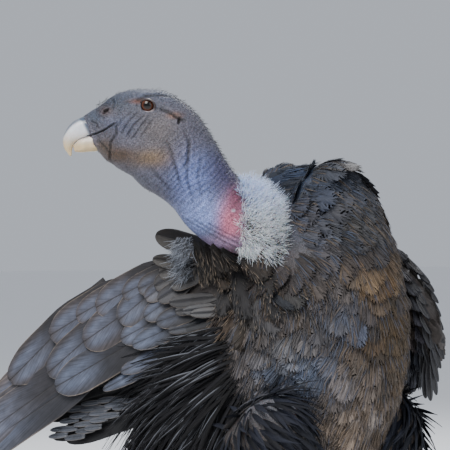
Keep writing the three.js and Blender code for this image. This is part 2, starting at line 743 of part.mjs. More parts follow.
const group = new THREE.Group();
const skins = {
  plumage: ["#3b3532", 0.85],
  quill: ["#2a2a2e", 0.6],
  down: ["#e8e8e8", 0.95],
  bare_skin: ["#6b6670", 0.7],
  horn: ["#e4dcc6", 0.4],
  eye: ["#5b2416", 0.1],
  leg: ["#55524f", 0.8],
  claw: ["#26231f", 0.45],
};

// Puts a solid in the bird as a named mesh
function add(name, solid, skin) {
  const { numProp, vertProperties, triVerts, numVert } = largest(solid).getMesh();
  const places = new Float32Array(numVert * 3);
  for (let i = 0; i < numVert; i++) {
    places.set(vertProperties.subarray(i * numProp, i * numProp + 3), i * 3);
  }
  const geometry = new THREE.BufferGeometry();
  geometry.setAttribute("position", new THREE.BufferAttribute(places, 3));
  geometry.setIndex(new THREE.BufferAttribute(triVerts, 1));
  geometry.computeVertexNormals();
  const [color, roughness] = skins[skin];
  const mesh = new THREE.Mesh(geometry, new THREE.MeshStandardMaterial({ color, roughness, metalness: 0 }));
  mesh.name = name;
  group.add(mesh);
}

const cutNeck = throat.solid({ rings: 30, around: 24, grow: gap + 1.2 });
add("torso", aboveFloor(torsoShape(0)), "plumage");
add("head", headShape(), "bare_skin");
const bareNeck = before(throatShape, headCut.along, headOffset - gap);
add("neck", beyond(bareNeck, lookAlong, collarReach + gap).subtract(cutTorso), "bare_skin");
add("ruff", ruffShape().subtract(cutTorso), "down");
const cutRuff = ruffShape(gap);
add("bill_upper", beyond(upperBill.solid({ rings: 11, around: 10 }), slant, slantOffset + gap)
  .subtract(jawRegion()), "horn");
add("bill_lower", beyond(lowerBill.solid({ rings: 7, around: 10 }), slant, slantOffset + gap)
  .intersect(jawRegion(gap)), "horn");
for (const [name, sign] of [["eye_left", -1], ["eye_right", 1]]) {
  add(name, ball(lookPoint(eye.reach, eye.height, sign * eye.across), eye.radius, 14, 8), "eye");
}
for (const [name, leg] of Object.entries(legs)) {
  const tarsus = aboveFloor(tarsusShape(leg).subtract(thighShape(leg, gap)));
  const foot = aboveFloor(footShape(leg).subtract(tarsusShape(leg, gap)));
  add(`thigh_${name}`, thighShape(leg).subtract(cutTorso), "plumage");
  add(`tarsus_${name}`, tarsus.subtract(cutTorso), "leg");
  add(`foot_${name}`, foot.subtract(cutTorso), "leg");
  for (const [toeName, toe] of Object.entries(toes)) {
    add(`claw_${name}_${toeName}`, clawShape(leg, toe).subtract(toeShape(leg, toe, gap)), "claw");
  }
  const cleared = joined([cutTorso, cutNeck, cutRuff, thighShape(leg, gap)]);
  add(`wing_${name}`, wingShape(wings[name]).subtract(cleared), "quill");
}
add("tail", tailShape().subtract(cutTorso), "quill");

// The origin goes to the middle of the floor under the bird
const box = new THREE.Box3().setFromObject(group);
const middle = box.getCenter(new THREE.Vector3());
for (const mesh of group.children) {
  mesh.geometry.translate(-middle.x, -middle.y, -box.min.z);
}

export default group;
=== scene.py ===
import math

import bpy
import numpy as np
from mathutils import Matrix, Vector
from mathutils.bvhtree import BVHTree


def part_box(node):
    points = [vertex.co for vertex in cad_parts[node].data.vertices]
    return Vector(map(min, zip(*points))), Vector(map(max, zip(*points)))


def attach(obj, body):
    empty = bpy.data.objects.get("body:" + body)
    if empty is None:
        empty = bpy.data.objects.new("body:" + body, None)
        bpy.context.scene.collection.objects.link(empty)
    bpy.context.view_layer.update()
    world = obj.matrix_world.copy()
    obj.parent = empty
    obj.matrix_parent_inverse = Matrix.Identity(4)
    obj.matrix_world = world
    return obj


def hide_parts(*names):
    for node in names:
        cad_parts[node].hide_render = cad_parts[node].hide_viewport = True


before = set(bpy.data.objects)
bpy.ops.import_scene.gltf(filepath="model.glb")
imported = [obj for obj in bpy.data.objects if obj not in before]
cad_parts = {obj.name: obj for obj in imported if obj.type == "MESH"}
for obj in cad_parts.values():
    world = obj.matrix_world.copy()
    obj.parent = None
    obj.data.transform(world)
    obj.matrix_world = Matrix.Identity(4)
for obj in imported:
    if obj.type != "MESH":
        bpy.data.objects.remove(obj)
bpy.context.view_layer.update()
bpy.ops.object.select_all(action="DESELECT")
print("frame loaded")

# The bird's own frame is in millimetres: breast to -Y, left side to +X, floor at 0
bird = {"headTurn": 130, "neckForward": -20, "neckFrom": 60, "coatDepth": 7}
eye = {"reach": 200, "height": 526, "across": 21.5, "radius": 9, "iris": 6.9, "pupil": 3.7}
turn = math.radians(bird["headTurn"])
lookAlong = np.array([-math.sin(turn), -math.cos(turn), 0.0])  # where the bill points
lookAcross = np.array([-math.cos(turn), math.sin(turn), 0.0])  # from the left cheek to the right
upward = np.array([0.0, 0.0, 1.0])
leftward = np.array([1.0, 0.0, 0.0])


def lookPoint(reach, height, across=0.0):
    reach, height, across = (np.asarray(v, float)[..., None] for v in (reach, height, across))
    return lookAlong * reach + lookAcross * (bird["neckForward"] + across) + upward * height


eyeLow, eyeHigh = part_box("eye_left")
eyeMiddle = (np.array(eyeLow) + np.array(eyeHigh)) / 2
frameShift = eyeMiddle - lookPoint(eye["reach"], eye["height"], -eye["across"]) * 0.001


def toFrame(points):
    return points * 0.001 + frameShift


def fromFrame(points):
    return (points - frameShift) * 1000


def unit(v):
    return v / np.maximum(np.linalg.norm(v, axis=-1, keepdims=True), 1e-9)


def dot(a, b):
    return np.sum(a * b, axis=-1)


def linear(code):
    parts = np.array([int(code[i:i + 2], 16) / 255 for i in (1, 3, 5)])
    return np.where(parts <= 0.04045, parts / 12.92, ((parts + 0.055) / 1.055) ** 2.4)


def smoothStep(low, high, value):
    share = np.clip((value - low) / (high - low), 0, 1)
    return share * share * (3 - 2 * share)


# A tint pulled towards a colour
def toward(tint, code, share):
    return tint + (linear(code) - tint) * np.asarray(share)[..., None]


# Places on the flat map that is baked to: round a body and along it, from 0.01 to 0.99
def flatSpots(angle, t):
    return np.column_stack([angle / (2 * math.pi) + 0.5, t]) * 0.98 + 0.01


# Bodies of changing section: each station has x, y, z and the half sizes top, under, side
class Loft:
    def __init__(self, stations, side):
        self.at = np.array([s[:3] for s in stations], float)
        self.sizes = np.array([s[3:] for s in stations], float)
        self.side = side
        self.last = len(stations) - 1

    # The station before t, and the share of the way on to the next
    def span(self, t):
        k = np.clip(t, 0, 1) * self.last
        i = np.minimum(k.astype(int), self.last - 1)
        return i, (k - i)[..., None]

    def path(self, t):
        i, f = self.span(t)
        ends = np.vstack([2 * self.at[0] - self.at[1], self.at, 2 * self.at[-1] - self.at[-2]])
        p0, p1, p2, p3 = (ends[i + n] for n in range(4))
        d0, d1, d2 = (np.linalg.norm(b - a, axis=-1, keepdims=True) ** 0.5
                      for a, b in ((p0, p1), (p1, p2), (p2, p3)))
        m1 = ((p1 - p0) / d0 - (p2 - p0) / (d0 + d1) + (p2 - p1) / d1) * d1
        m2 = ((p2 - p1) / d1 - (p3 - p1) / (d1 + d2) + (p3 - p2) / d2) * d1
        cubic = 2 * p1 - 2 * p2 + m1 + m2
        square = 3 * p2 - 3 * p1 - 2 * m1 - m2
        return p1 + f * (m1 + f * (square + f * cubic))

    def size(self, t):
        i, f = self.span(t)
        a, b, c, d = (self.sizes[np.clip(i + n, 0, self.last)] for n in (-1, 0, 1, 2))
        smooth = b + 0.5 * f * (c - a + f * (2 * a - 5 * b + 4 * c - d + f * (3 * (b - c) + d - a)))
        return np.maximum(smooth, np.minimum(b, c) * 0.9)

    def axes(self, t):
        along = unit(self.path(np.clip(t + 1e-3, 0, 1)) - self.path(np.clip(t - 1e-3, 0, 1)))
        up = unit(np.cross(self.side, along))
        return self.path(t), along, up, unit(np.cross(along, up))

    def surface(self, t, angle, grow=0.0):
        t, angle = np.broadcast_arrays(np.asarray(t, float), np.asarray(angle, float))
        at, _, up, side = self.axes(t)
        size = self.size(t)
        rise = np.cos(angle)
        reach = np.where(rise >= 0, size[..., 0], size[..., 1]) + grow
        width = size[..., 2] + grow
        return at + up * (rise * reach)[..., None] + side * (np.sin(angle) * width)[..., None]

    def normal(self, t, angle):
        t, angle = np.broadcast_arrays(np.asarray(t, float), np.asarray(angle, float))
        along = self.surface(np.clip(t + 0.004, 0, 1), angle) - self.surface(np.clip(t - 0.004, 0, 1), angle)
        around = self.surface(t, angle + 0.01) - self.surface(t, angle - 0.01)
        out = unit(np.cross(around, along))
        away = self.surface(t, angle) - self.path(t)
        return out * np.where(dot(out, away) < 0, -1, 1)[..., None]

    # The station beside points, found by halving
    def beside(self, points):
        low, high = np.zeros(len(points)), np.ones(len(points))
        for _ in range(16):
            middle = (low + high) / 2
            at, along, _, _ = self.axes(middle)
            beyond = dot(points - at, along) > 0
            low, high = np.where(beyond, middle, low), np.where(beyond, high, middle)
        return low

    # Places on a flat map of the loft: round it and along it, from 0.01 to 0.99
    def spots(self, points):
        t = self.beside(points)
        at, _, up, side = self.axes(t)
        return flatSpots(np.arctan2(dot(points - at, side), dot(points - at, up)), t)

    # How deep points lie under the surface, as a share: 1 on it, less inside
    def depthShare(self, points):
        t = self.beside(points)
        at, along, up, side = self.axes(t)
        away = points - at
        size = self.size(t)
        rise, across = dot(away, up), dot(away, side)
        reach = np.where(rise >= 0, size[:, 0], size[:, 1])
        pastEnd = np.where((t < 0.002) | (t > 0.998), np.abs(dot(away, along)) / 4, 0)
        return np.hypot(rise / reach, across / size[:, 2]) + pastEnd


torsoLoft = Loft([
    (0, 318, 84, 18, 16, 30), (0, 292, 92, 40, 36, 56), (0, 240, 106, 82, 74, 84),
    (0, 175, 124, 122, 128, 110), (0, 105, 152, 150, 164, 122), (0, 40, 198, 156, 150, 121),
    (0, -5, 254, 140, 128, 111), (0, -28, 312, 112, 99, 94), (-2, -37, 366, 90, 68, 76),
    (-8, -36, 410, 70, 50, 62), (-14, -30, 440, 46, 32, 43), (-18, -26, 456, 18, 12, 18),
], -leftward)


def lookLoft(stations):
    return Loft([(*lookPoint(s[0], s[1], s[2]), *s[3:]) for s in stations], lookAcross)


throatLoft = lookLoft([(reach, z, 0, top, under, side) for reach, z, top, under, side in (
    (40, 346, 44, 26, 48), (68, 368, 49, 27, 47), (96, 386, 45, 38, 44), (122, 409, 43, 41, 40),
    (143, 431, 47, 38, 38), (161, 450, 54, 42, 38), (176, 464, 60, 46, 38), (192, 478, 63, 45, 37),
    (209, 488, 62, 45, 35), (227, 495, 53, 43, 32), (244, 498, 42, 38, 26), (258, 499, 31, 29, 20),
    (270, 498, 23, 23, 15), (284, 496, 13, 18, 12))])
shoulderLoft = lookLoft([
    (-40, 285, 18, 75, 60, 78), (-4, 338, 22, 86, 60, 74), (30, 374, 26, 92, 52, 64),
    (58, 406, 30, 72, 40, 48), (80, 428, 33, 42, 18, 24)])

legs = {"left": (69, 26), "right": (-96, 0)}


def thighLoft(x, y):
    outward = math.copysign(1, x)
    return Loft([(x + outward * out, y + back, z, half, half, side) for out, back, z, half, side in (
        (4, -40, 188, 14, 12), (13, -50, 164, 46, 40), (19, -46, 122, 66, 50), (17, -18, 78, 60, 44),
        (8, 14, 44, 38, 30), (2, 34, 27, 20, 19))], -leftward)


thighLofts = {name: thighLoft(x, y) for name, (x, y) in legs.items()}
tailLoft = Loft([(0, 292, 92, 26, 26, 40), (0, 322, 86, 18, 16, 40), (0, 350, 79, 12, 11, 38),
                 (0, 384, 71, 3, 3, 24)], -leftward)

# Each wing's arm runs along, up lies across its vanes and out is its upper face
wings = {
    "left": {"shoulder": np.array([115.5, -20.5, 284]), "along": np.array([0.4, 0.76, -0.51]),
             "out": np.array([0.8, -0.25, 0.35]), "lead": -30, "extra": 32, "narrow": 4},
    "right": {"shoulder": lookPoint(108, 294, 29),
              "along": lookAlong * 0.777 + lookAcross * 0.362 - upward * 0.515,
              "out": lookAlong * 0.579 - lookAcross * 0.733 + upward * 0.358,
              "lead": 0, "extra": 0, "narrow": 11},
}
for wing in wings.values():
    wing["along"] = unit(wing["along"])
    wing["out"] = unit(wing["out"] - wing["along"] * dot(wing["out"], wing["along"]))
    wing["up"] = np.cross(wing["along"], wing["out"])
    wing["up"] *= np.sign(wing["up"][2])

# Stations of the arm: a along it, b its middle, its thickness over and under, and its half width
arm = np.array([
    (-62, 22, 10, 22, 28), (-30, 20, 20, 24, 44), (20, 28, 22, 22, 54), (90, 46, 18, 18, 66),
    (160, 50, 13, 14, 68), (230, 46, 9, 10, 60), (285, 40, 5, 7, 46), (315, 36, 2, 3, 24)], float)


def wingPoint(wing, a, b, height=0.0):
    a, b, height = (np.asarray(v, float)[..., None] for v in (a, b, height))
    return wing["shoulder"] + wing["along"] * a + wing["up"] * b + wing["out"] * height


def nearShare(a):
    return np.clip(1 - np.asarray(a, float) / 300, 0, 1)


# The arm's loft, thinned so that it stays under the feathers
def armLoft(wing, thin=4, thinnest=1.2):
    rows = []
    for a, b, top, under, half in arm:
        near = float(nearShare(a))
        at = wingPoint(wing, a, b + wing["lead"] * near)
        wide = half + wing["extra"] * near - wing["narrow"]
        rows.append((*at, max(top - thin, thinnest), max(under - thin, thinnest), wide))
    return Loft(rows, wing["up"])


# How high the arm's upper face stands over the wing's plane
def armRise(wing, a, b):
    a, b = np.asarray(a, float), np.asarray(b, float)
    middle, top, half = (np.interp(a, arm[:, 0], arm[:, n]) for n in (1, 2, 4))
    offset = (b - middle - wing["lead"] * nearShare(a)) / (half + wing["extra"] * nearShare(a))
    return top * np.sqrt(np.maximum(0.04, 1 - offset * offset))


# A mesh from arrays, for what is made of many small things
def addMesh(name, material, points, faces, tint, vane, bake, rim):
    mesh = bpy.data.meshes.new(name)
    mesh.vertices.add(len(points))
    mesh.vertices.foreach_set("co", toFrame(points).astype(np.float32).ravel())
    mesh.loops.add(faces.size)
    mesh.loops.foreach_set("vertex_index", faces.astype(np.int32).ravel())
    mesh.polygons.add(len(faces))
    mesh.polygons.foreach_set("loop_start", np.arange(0, faces.size, faces.shape[1], dtype=np.int32))
    mesh.update(calc_edges=True)
    mesh.polygons.foreach_set("use_smooth", np.ones(len(faces), bool))
    # A thin plate's rim stays crisp, so that its faces don't look puffed up
    ends = np.empty(len(mesh.edges) * 2, np.int32)
    mesh.edges.foreach_get("vertices", ends)
    sharp = mesh.attributes.new("sharp_edge", "BOOLEAN", "EDGE")
    sharp.data.foreach_set("value", rim[ends.reshape(-1, 2)].all(axis=1))
    for layer, values in (("vane", vane), ("OFBake", bake)):
        uv = mesh.uv_layers.new(name=layer)
        uv.data.foreach_set("uv", values[faces.ravel()].astype(np.float32).ravel())
    paint(mesh, tint)
    mesh.materials.append(material)
    piece = bpy.data.objects.new(name, mesh)
    bpy.context.collection.objects.link(piece)
    return piece


def paint(mesh, tint):
    layer = mesh.color_attributes.new("tint", "FLOAT_COLOR", "POINT")
    layer.data.foreach_set("color", np.column_stack([tint, np.ones(len(tint))]).astype(np.float32).ravel())


def meshPoints(mesh, kind="co"):
    points = np.empty(len(mesh.vertices) * 3, np.float32)
    mesh.vertices.foreach_get(kind, points)
    return points.reshape(-1, 3).astype(float)


def setPoints(mesh, points):
    mesh.vertices.foreach_set("co", points.astype(np.float32).ravel())
    mesh.update()


# A ball is added and its poles are pulled along a loft, so the ends stay closed
def loftPiece(name, loft, rings, around, grow=0.0):
    bpy.ops.object.select_all(action="DESELECT")
    bpy.ops.mesh.primitive_uv_sphere_add(segments=around, ring_count=rings, radius=1)
    piece = bpy.context.object
    piece.name = name
    points = meshPoints(piece.data)
    t = 1 - np.arccos(np.clip(points[:, 2], -1, 1)) / math.pi
    angle = np.arctan2(points[:, 0], points[:, 1])
    closed = np.minimum(1, np.hypot(points[:, 0], points[:, 1]) * 40)
    moved = loft.path(t) + (loft.surface(t, angle, grow) - loft.path(t)) * closed[:, None]
    setPoints(piece.data, moved)
    piece.data.uv_layers.remove(piece.data.uv_layers[0])
    return piece, t, angle


def turnOutward(piece):
    bpy.ops.object.select_all(action="DESELECT")
    piece.select_set(True)
    bpy.context.view_layer.objects.active = piece
    bpy.ops.object.mode_set(mode="EDIT")
    bpy.ops.mesh.select_all(action="SELECT")
    bpy.ops.mesh.remove_doubles(threshold=0.000002)
    bpy.ops.mesh.normals_make_consistent(inside=False)
    bpy.ops.object.mode_set(mode="OBJECT")
    bpy.ops.object.shade_smooth()
    piece.select_set(False)


# Moves a piece from the bird's own frame to the model's, closed and facing outwards
def settle(piece, points):
    setPoints(piece.data, toFrame(points))
    turnOutward(piece)


# A smooth stump that feathers lie on, in the plumage's colour
def makeStump(name, loft, rings, around, grow=0.0):
    piece = loftPiece(name, loft, rings, around, grow)[0]
    settle(piece, meshPoints(piece.data))
    paint(piece.data, np.tile(plumageBase, (len(piece.data.vertices), 1)))
    piece.data.materials.append(softFeather)
    piece.data.uv_layers.new(name="vane")
    return piece


# Materials: a look is one material, and its methods add the nodes that feed its shader
class Look:
    def __init__(self, name, sockets):
        self.material = bpy.data.materials.new(name)
        self.material.use_nodes = True
        self.tree = self.material.node_tree
        self.shader = self.tree.nodes["Principled BSDF"]
        for socket, value in sockets.items():
            self.feed(self.shader.inputs[socket], value)

    def feed(self, socket, value):
        if hasattr(value, "links"):
            self.tree.links.new(value, socket)
        elif socket.type == "RGBA":
            socket.default_value = (*value, 1)
        else:
            socket.default_value = value

    def node(self, kind, inputs=None, **settings):
        made = self.tree.nodes.new(kind)
        for key, value in settings.items():
            setattr(made, key, value)
        for key, value in (inputs or {}).items():
            self.feed(made.inputs[key], value)
        return made

    def place(self):
        return self.node("ShaderNodeTexCoord").outputs["Object"]

    def tint(self):
        return self.node("ShaderNodeAttribute", attribute_name="tint").outputs["Color"]

    def noise(self, scale, detail, rough=0.6, stretch=(1, 1, 1)):
        mapped = self.node("ShaderNodeMapping", {"Vector": self.place(), "Scale": stretch}).outputs["Vector"]
        return self.node("ShaderNodeTexNoise", {"Vector": mapped, "Scale": scale, "Detail": detail,
                                                "Roughness": rough}).outputs["Fac"]

    def remap(self, value, fromLow, fromHigh, toLow, toHigh):
        return self.node("ShaderNodeMapRange", {"Value": value, "From Min": fromLow, "From Max": fromHigh,
                                                "To Min": toLow, "To Max": toHigh}).outputs["Result"]

    def reckon(self, kind, a, b=0.0):
        return self.node("ShaderNodeMath", {0: a, 1: b}, operation=kind).outputs[0]

    def times(self, value, factor):
        return self.reckon("MULTIPLY", value, factor)

    def blend(self, kind, factor, a, b):
        made = self.node("ShaderNodeMix", data_type="RGBA", blend_type=kind)
        for socket, value in ((0, factor), (6, a), (7, b)):
            self.feed(made.inputs[socket], value)
        return made.outputs[2]

    # Darkens and lightens a colour by a value: where it starts and ends, and the factors there
    def shade(self, colour, value, *limits):
        level = self.remap(value, *limits)
        grey = self.node("ShaderNodeCombineColor", {"Red": level, "Green": level, "Blue": level}).outputs[0]
        return self.blend("MULTIPLY", 1.0, colour, grey)

    # Barbs that slant away from the shaft, on the vane's own UV map
    def barbs(self, slant, close, wide, detail, rough):
        vane = self.node("ShaderNodeUVMap", uv_map="vane").outputs["UV"]
        parts = self.node("ShaderNodeSeparateXYZ", {"Vector": vane}).outputs
        across = self.reckon("ABSOLUTE", self.reckon("SUBTRACT", parts["X"], 0.5))
        lean = self.reckon("SUBTRACT", parts["Y"], self.times(across, slant))
        lined = self.node("ShaderNodeCombineXYZ", {"X": self.times(lean, close),
                                                   "Y": self.times(across, wide)})
        lines = self.node("ShaderNodeTexNoise", {"Vector": lined.outputs[0], "Scale": 1.0, "Detail": detail,
                                                 "Roughness": rough}, noise_dimensions="2D")
        return parts["Y"], across, lines.outputs["Fac"]

    def bump(self, height, strength, distance):
        made = self.node("ShaderNodeBump", {"Height": height, "Strength": strength, "Distance": distance})
        self.tree.links.new(made.outputs["Normal"], self.shader.inputs["Normal"])

    def finish(self, colour):
        self.tree.links.new(colour, self.shader.inputs["Base Color"])
        return self.material


def makeBareSkin():
    look = Look("bareSkin", {"Roughness": 0.5, "Subsurface Weight": 0.06, "Subsurface Scale": 0.004})
    grain = look.noise(620, 3)
    cells = look.node("ShaderNodeTexVoronoi", {"Vector": look.place(), "Scale": 700.0, "Randomness": 1.0})
    pores = cells.outputs["Distance"]
    colour = look.shade(look.tint(), look.noise(90, 5), 0.3, 0.7, 0.78, 1.2)
    colour = look.shade(colour, grain, 0.35, 0.65, 0.52, 1.55)
    colour = look.shade(colour, pores, 0.1, 0.5, 0.7, 1.1)
    look.bump(look.reckon("ADD", look.times(grain, 0.7), look.times(pores, 0.5)), 0.9, 0.0011)
    return look.finish(colour)


# Dark is how far the root is darkened, as painted shade where it lies under the feathers around it, and
# streak how far the barbs' lines stand off
def makeSoftFeather(name, dark, streak, sheen, gloss):
    look = Look(name, {"Roughness": 0.62, "Specular IOR Level": gloss, "Sheen Weight": sheen,
                       "Sheen Roughness": 0.4})
    along, _, lines = look.barbs(0.9, 22.0, 3.0, 3.0, 0.7)
    colour = look.shade(look.tint(), lines, 0.32, 0.68, 1 - streak, 1 + streak)
    look.bump(lines, 0.5, 0.0009)
    return look.finish(look.shade(colour, along, 0.2, 0.7, dark, 1.0))


def makeFlightFeather():
    look = Look("flightFeather", {"Roughness": 0.46, "Specular IOR Level": 0.5})
    _, across, lines = look.barbs(0.8, 46.0, 4.0, 2.0, 0.6)
    colour = look.shade(look.tint(), lines, 0.3, 0.7, 0.68, 1.32)
    colour = look.shade(colour, look.noise(60, 4), 0.3, 0.7, 0.72, 1.26)
    shaft = look.remap(across, 0.006, 0.02, 1.0, 0.0)
    look.bump(look.reckon("ADD", look.times(lines, 0.5), shaft), 0.55, 0.0006)
    return look.finish(look.blend("MIX", look.times(shaft, 0.75), colour, linear("#1d1a1a")))


def makeWhiteDown():
    look = Look("whiteDown", {"Roughness": 0.85, "Sheen Weight": 0.3, "Subsurface Weight": 0.15,
                              "Subsurface Scale": 0.003})
    return look.finish(look.shade(look.tint(), look.noise(160, 4), 0.3, 0.7, 0.86, 1.06))


def makeHorn(name, rough, coatWeight):
    look = Look(name, {"Roughness": rough, "Coat Weight": coatWeight, "Subsurface Weight": 0.08,
                       "Subsurface Scale": 0.003})
    streaks = look.noise(120, 4, 0.6, (1, 1, 0.35))
    colour = look.shade(look.tint(), streaks, 0.3, 0.7, 0.86, 1.1)
    look.bump(streaks, 0.3, 0.0008)
    return look.finish(look.shade(colour, look.noise(900, 2, 0.5), 0.3, 0.7, 0.94, 1.05))


def makeEyeBall():
    look = Look("eyeBall", {"Roughness": 0.1, "Specular IOR Level": 0.4})
    return look.finish(look.shade(look.tint(), look.noise(1500, 3), 0.3, 0.7, 0.7, 1.35))


def makeLegSkin():
    look = Look("legSkin", {"Roughness": 0.6})
    cells = look.node("ShaderNodeTexVoronoi", {"Vector": look.place(), "Scale": 260.0},
                      feature="DISTANCE_TO_EDGE")
    plates = look.remap(cells.outputs["Distance"], 0.0, 0.16, 0.0, 1.0)
    colour = look.blend("MIX", plates, linear("#2a2826"), linear("#6d6b68"))
    look.bump(plates, 0.8, 0.0012)
    return look.finish(look.shade(colour, look.noise(140, 5), 0.3, 0.7, 0.65, 1.3))


bareSkin = makeBareSkin()
softFeather = makeSoftFeather("softFeather", 0.55, 0.34, 0.06, 0.35)
blackFeather = makeSoftFeather("blackFeather", 0.8, 0.4, 0.0, 0.22)
flightFeather = makeFlightFeather()
whiteDown = makeWhiteDown()
billHorn = makeHorn("billHorn", 0.32, 0.25)
clawHorn = makeHorn("clawHorn", 0.4, 0.1)
eyeBall = makeEyeBall()
legSkin = makeLegSkin()
print("materials made")

# Colours of the bare skin, as soft patches: reach, height, half sizes, colour and strength
skinBase = linear("#6c6569")
# The skin is dimmed least in blue, and that lean to blue is painted blue sky light
skinDim = np.array([0.42, 0.47, 0.58])  # takes all of the skin darker, and least in blue
skinPatches = [
    (195, 550, 62, 20, "#5d6372", 0.85), (240, 530, 24, 12, "#48505c", 0.8),
    (262, 514, 12, 10, "#4c5866", 0.8), (250, 519, 9, 7, "#5a4238", 0.8), (240, 506, 14, 8, "#5c6072", 0.6),
    (209, 531, 11, 3, "#a05a38", 0.7), (222, 502, 15, 13, "#5f6478", 0.6),
    (185, 495, 24, 18, "#75665c", 0.7), (192, 462, 28, 12, "#8a6634", 0.75),
    (235, 467, 19, 9, "#664624", 0.85), (252, 477, 11, 9, "#6c5238", 0.8),
    (168, 514, 9, 4, "#94603c", 0.65), (150, 478, 16, 26, "#746c78", 0.5),
    (199, 440, 20, 13, "#6b6872", 0.7), (142, 437, 30, 30, "#808fc4", 0.85),
    (107, 442, 22, 30, "#4c4260", 0.85), (134, 394, 32, 22, "#aab8ea", 0.9),
    (101, 388, 15, 25, "#f07c8c", 0.95), (95, 414, 10, 16, "#8d3d52", 0.85),
    (112, 364, 30, 7, "#c49cb6", 0.7), (98, 401, 1.9, 1.4, "#ffffff", 0.8)]
# Folds and openings of the bare skin: depth, width and a line in reach and height
mouthLine = [(237, 505), (241, 503.4), (253, 496), (263, 492), (272, 490.8), (282, 486.6), (289.4, 479)]
creases = [
    (2.4, 0.85, mouthLine),
    (1.7, 1.3, [(214, 530.5), (203, 537), (190, 538.5), (176, 537.5), (165, 535.5), (158, 530)]),
    (2.0, 1.6, [(187, 522.7), (173, 517), (163, 510), (155, 508)]),
    (1.3, 1.2, [(237, 505), (237, 492), (244, 482), (245, 463), (240, 455)]),
    (1.1, 2.2, [(178, 488), (168, 458), (161, 430)]),
    (0.8, 2.0, [(158, 500), (150, 480), (152, 462), (158, 448)]),
    (1.0, 1.4, [(258, 484), (250, 476), (243, 466)]),
    (0.9, 1.0, [(163, 396), (146, 386), (125, 373), (107, 363), (88, 354)]),
    (0.9, 1.0, [(150, 393), (126, 379), (107, 369), (88, 360)]),
    (0.8, 1.0, [(132, 388), (110, 376), (88, 366)]),
    (-1.0, 2.2, [(272, 506), (269, 497), (264, 488), (260, 476)]),
    (0.9, 2.0, [(196, 453), (186, 440), (172, 425)]),
    (0.9, 0.9, [(218, 519), (231, 509), (234, 502)]),
    (1.1, 0.9, [(211, 518), (224, 505), (231, 492)]),
    (1.1, 0.9, [(203, 515), (217, 502), (225, 488)]),
    (1.0, 0.9, [(196, 516), (207, 502), (218, 486)]),
    (0.7, 0.9, [(190, 514), (199, 501), (209, 487)]),
    (0.9, 1.2, [(245, 537), (240, 530), (242, 521)]),
    (0.9, 1.1, [(268, 509), (261, 505), (259, 499)]),
    (0.9, 1.6, [(150, 490), (152, 460), (153, 437), (146, 412)]),
    (0.7, 1.0, [(230, 528), (216, 533), (204, 534)]),
    (0.7, 1.6, [(136, 462), (141, 440), (135, 415)])]
swells = [  # reach, height, radius, rise
    (205, 541, 9, 1.3), (186, 544, 9, 1.1), (168, 541, 8, 0.9), (172, 521, 6, 1.0), (176, 505, 12, 1.2),
    (246, 508, 7, 0.8), (250, 494, 6, -0.6), (225, 480, 12, 1.0), (200, 463, 16, 1.4), (252, 520, 8, 1.0)]
# Nostril and ear
pits = [{"at": (249.6, 520.6), "long": 4.3, "high": 2.3, "tilt": 24, "deep": 4.5},
        {"at": (162.5, 507.5), "long": 2.0, "high": 4.6, "tilt": -12, "deep": 4.0}]
eyeSocket = {"deep": 5.5, "inner": 6.4, "outer": 8.0, "fold": 12.5, "foldDeep": 0.6}
# Wrinkles: in arcs over the cheek, loose down the throat, and fine all over
wrinkles = {"centre": (195.6, 474.8), "cheek": (222, 502, 15), "pitch": 3.7, "throat": (150, 425, 60),
            "cheekRise": 0.3, "throatRise": 0.5, "fineRise": 0.3}


def patched(tint, across, height, patches, strength=1.0):
    for atAcross, atHeight, halfAcross, halfHeight, code, share in patches:
        far = ((across - atAcross) / halfAcross) ** 2 + ((height - atHeight) / halfHeight) ** 2
        tint = toward(tint, code, share * strength * np.exp(-0.8 * far ** 1.3))
    return tint


# How far points lie from a line of strokes, and the share of the way along it
def strokeDistance(reach, height, line):
    best = np.full(reach.shape, 1e9)
    share = np.zeros(reach.shape)
    for i, (a, b) in enumerate(zip(line, line[1:])):
        step = np.subtract(b, a)
        s = np.clip(((reach - a[0]) * step[0] + (height - a[1]) * step[1]) / dot(step, step), 0, 1)
        far = np.hypot(reach - a[0] - s * step[0], height - a[1] - s * step[1])
        share = np.where(far < best, (i + s) / (len(line) - 1), share)
        best = np.minimum(best, far)
    return best, share


# Creases run out softly at both ends
def creaseEnds(share):
    return np.minimum(1, 7 * np.minimum(share + 0.03, 1.03 - share))


def skinTint(points):
    reach, height = dot(points, lookAlong), points[:, 2]
    tint = patched(np.tile(skinBase, (len(points), 1)), reach, height, skinPatches)
    # Painted shade: the tint darkens along each fold and opening, and lightens along the one raised ridge as
    # painted light
    for depth, width, line in creases:
        far, share = strokeDistance(reach, height, line)
        dark = min(0.36 * depth, 0.75) * creaseEnds(share) * np.exp(-(far / (0.8 + 0.6 * width)) ** 2)
        tint *= 1 - dark[:, None]
    return tint * skinDim


def nearness(reach, height, atReach, atHeight, radius):
    return np.exp(-(((reach - atReach) / radius) ** 2 + ((height - atHeight) / radius) ** 2))


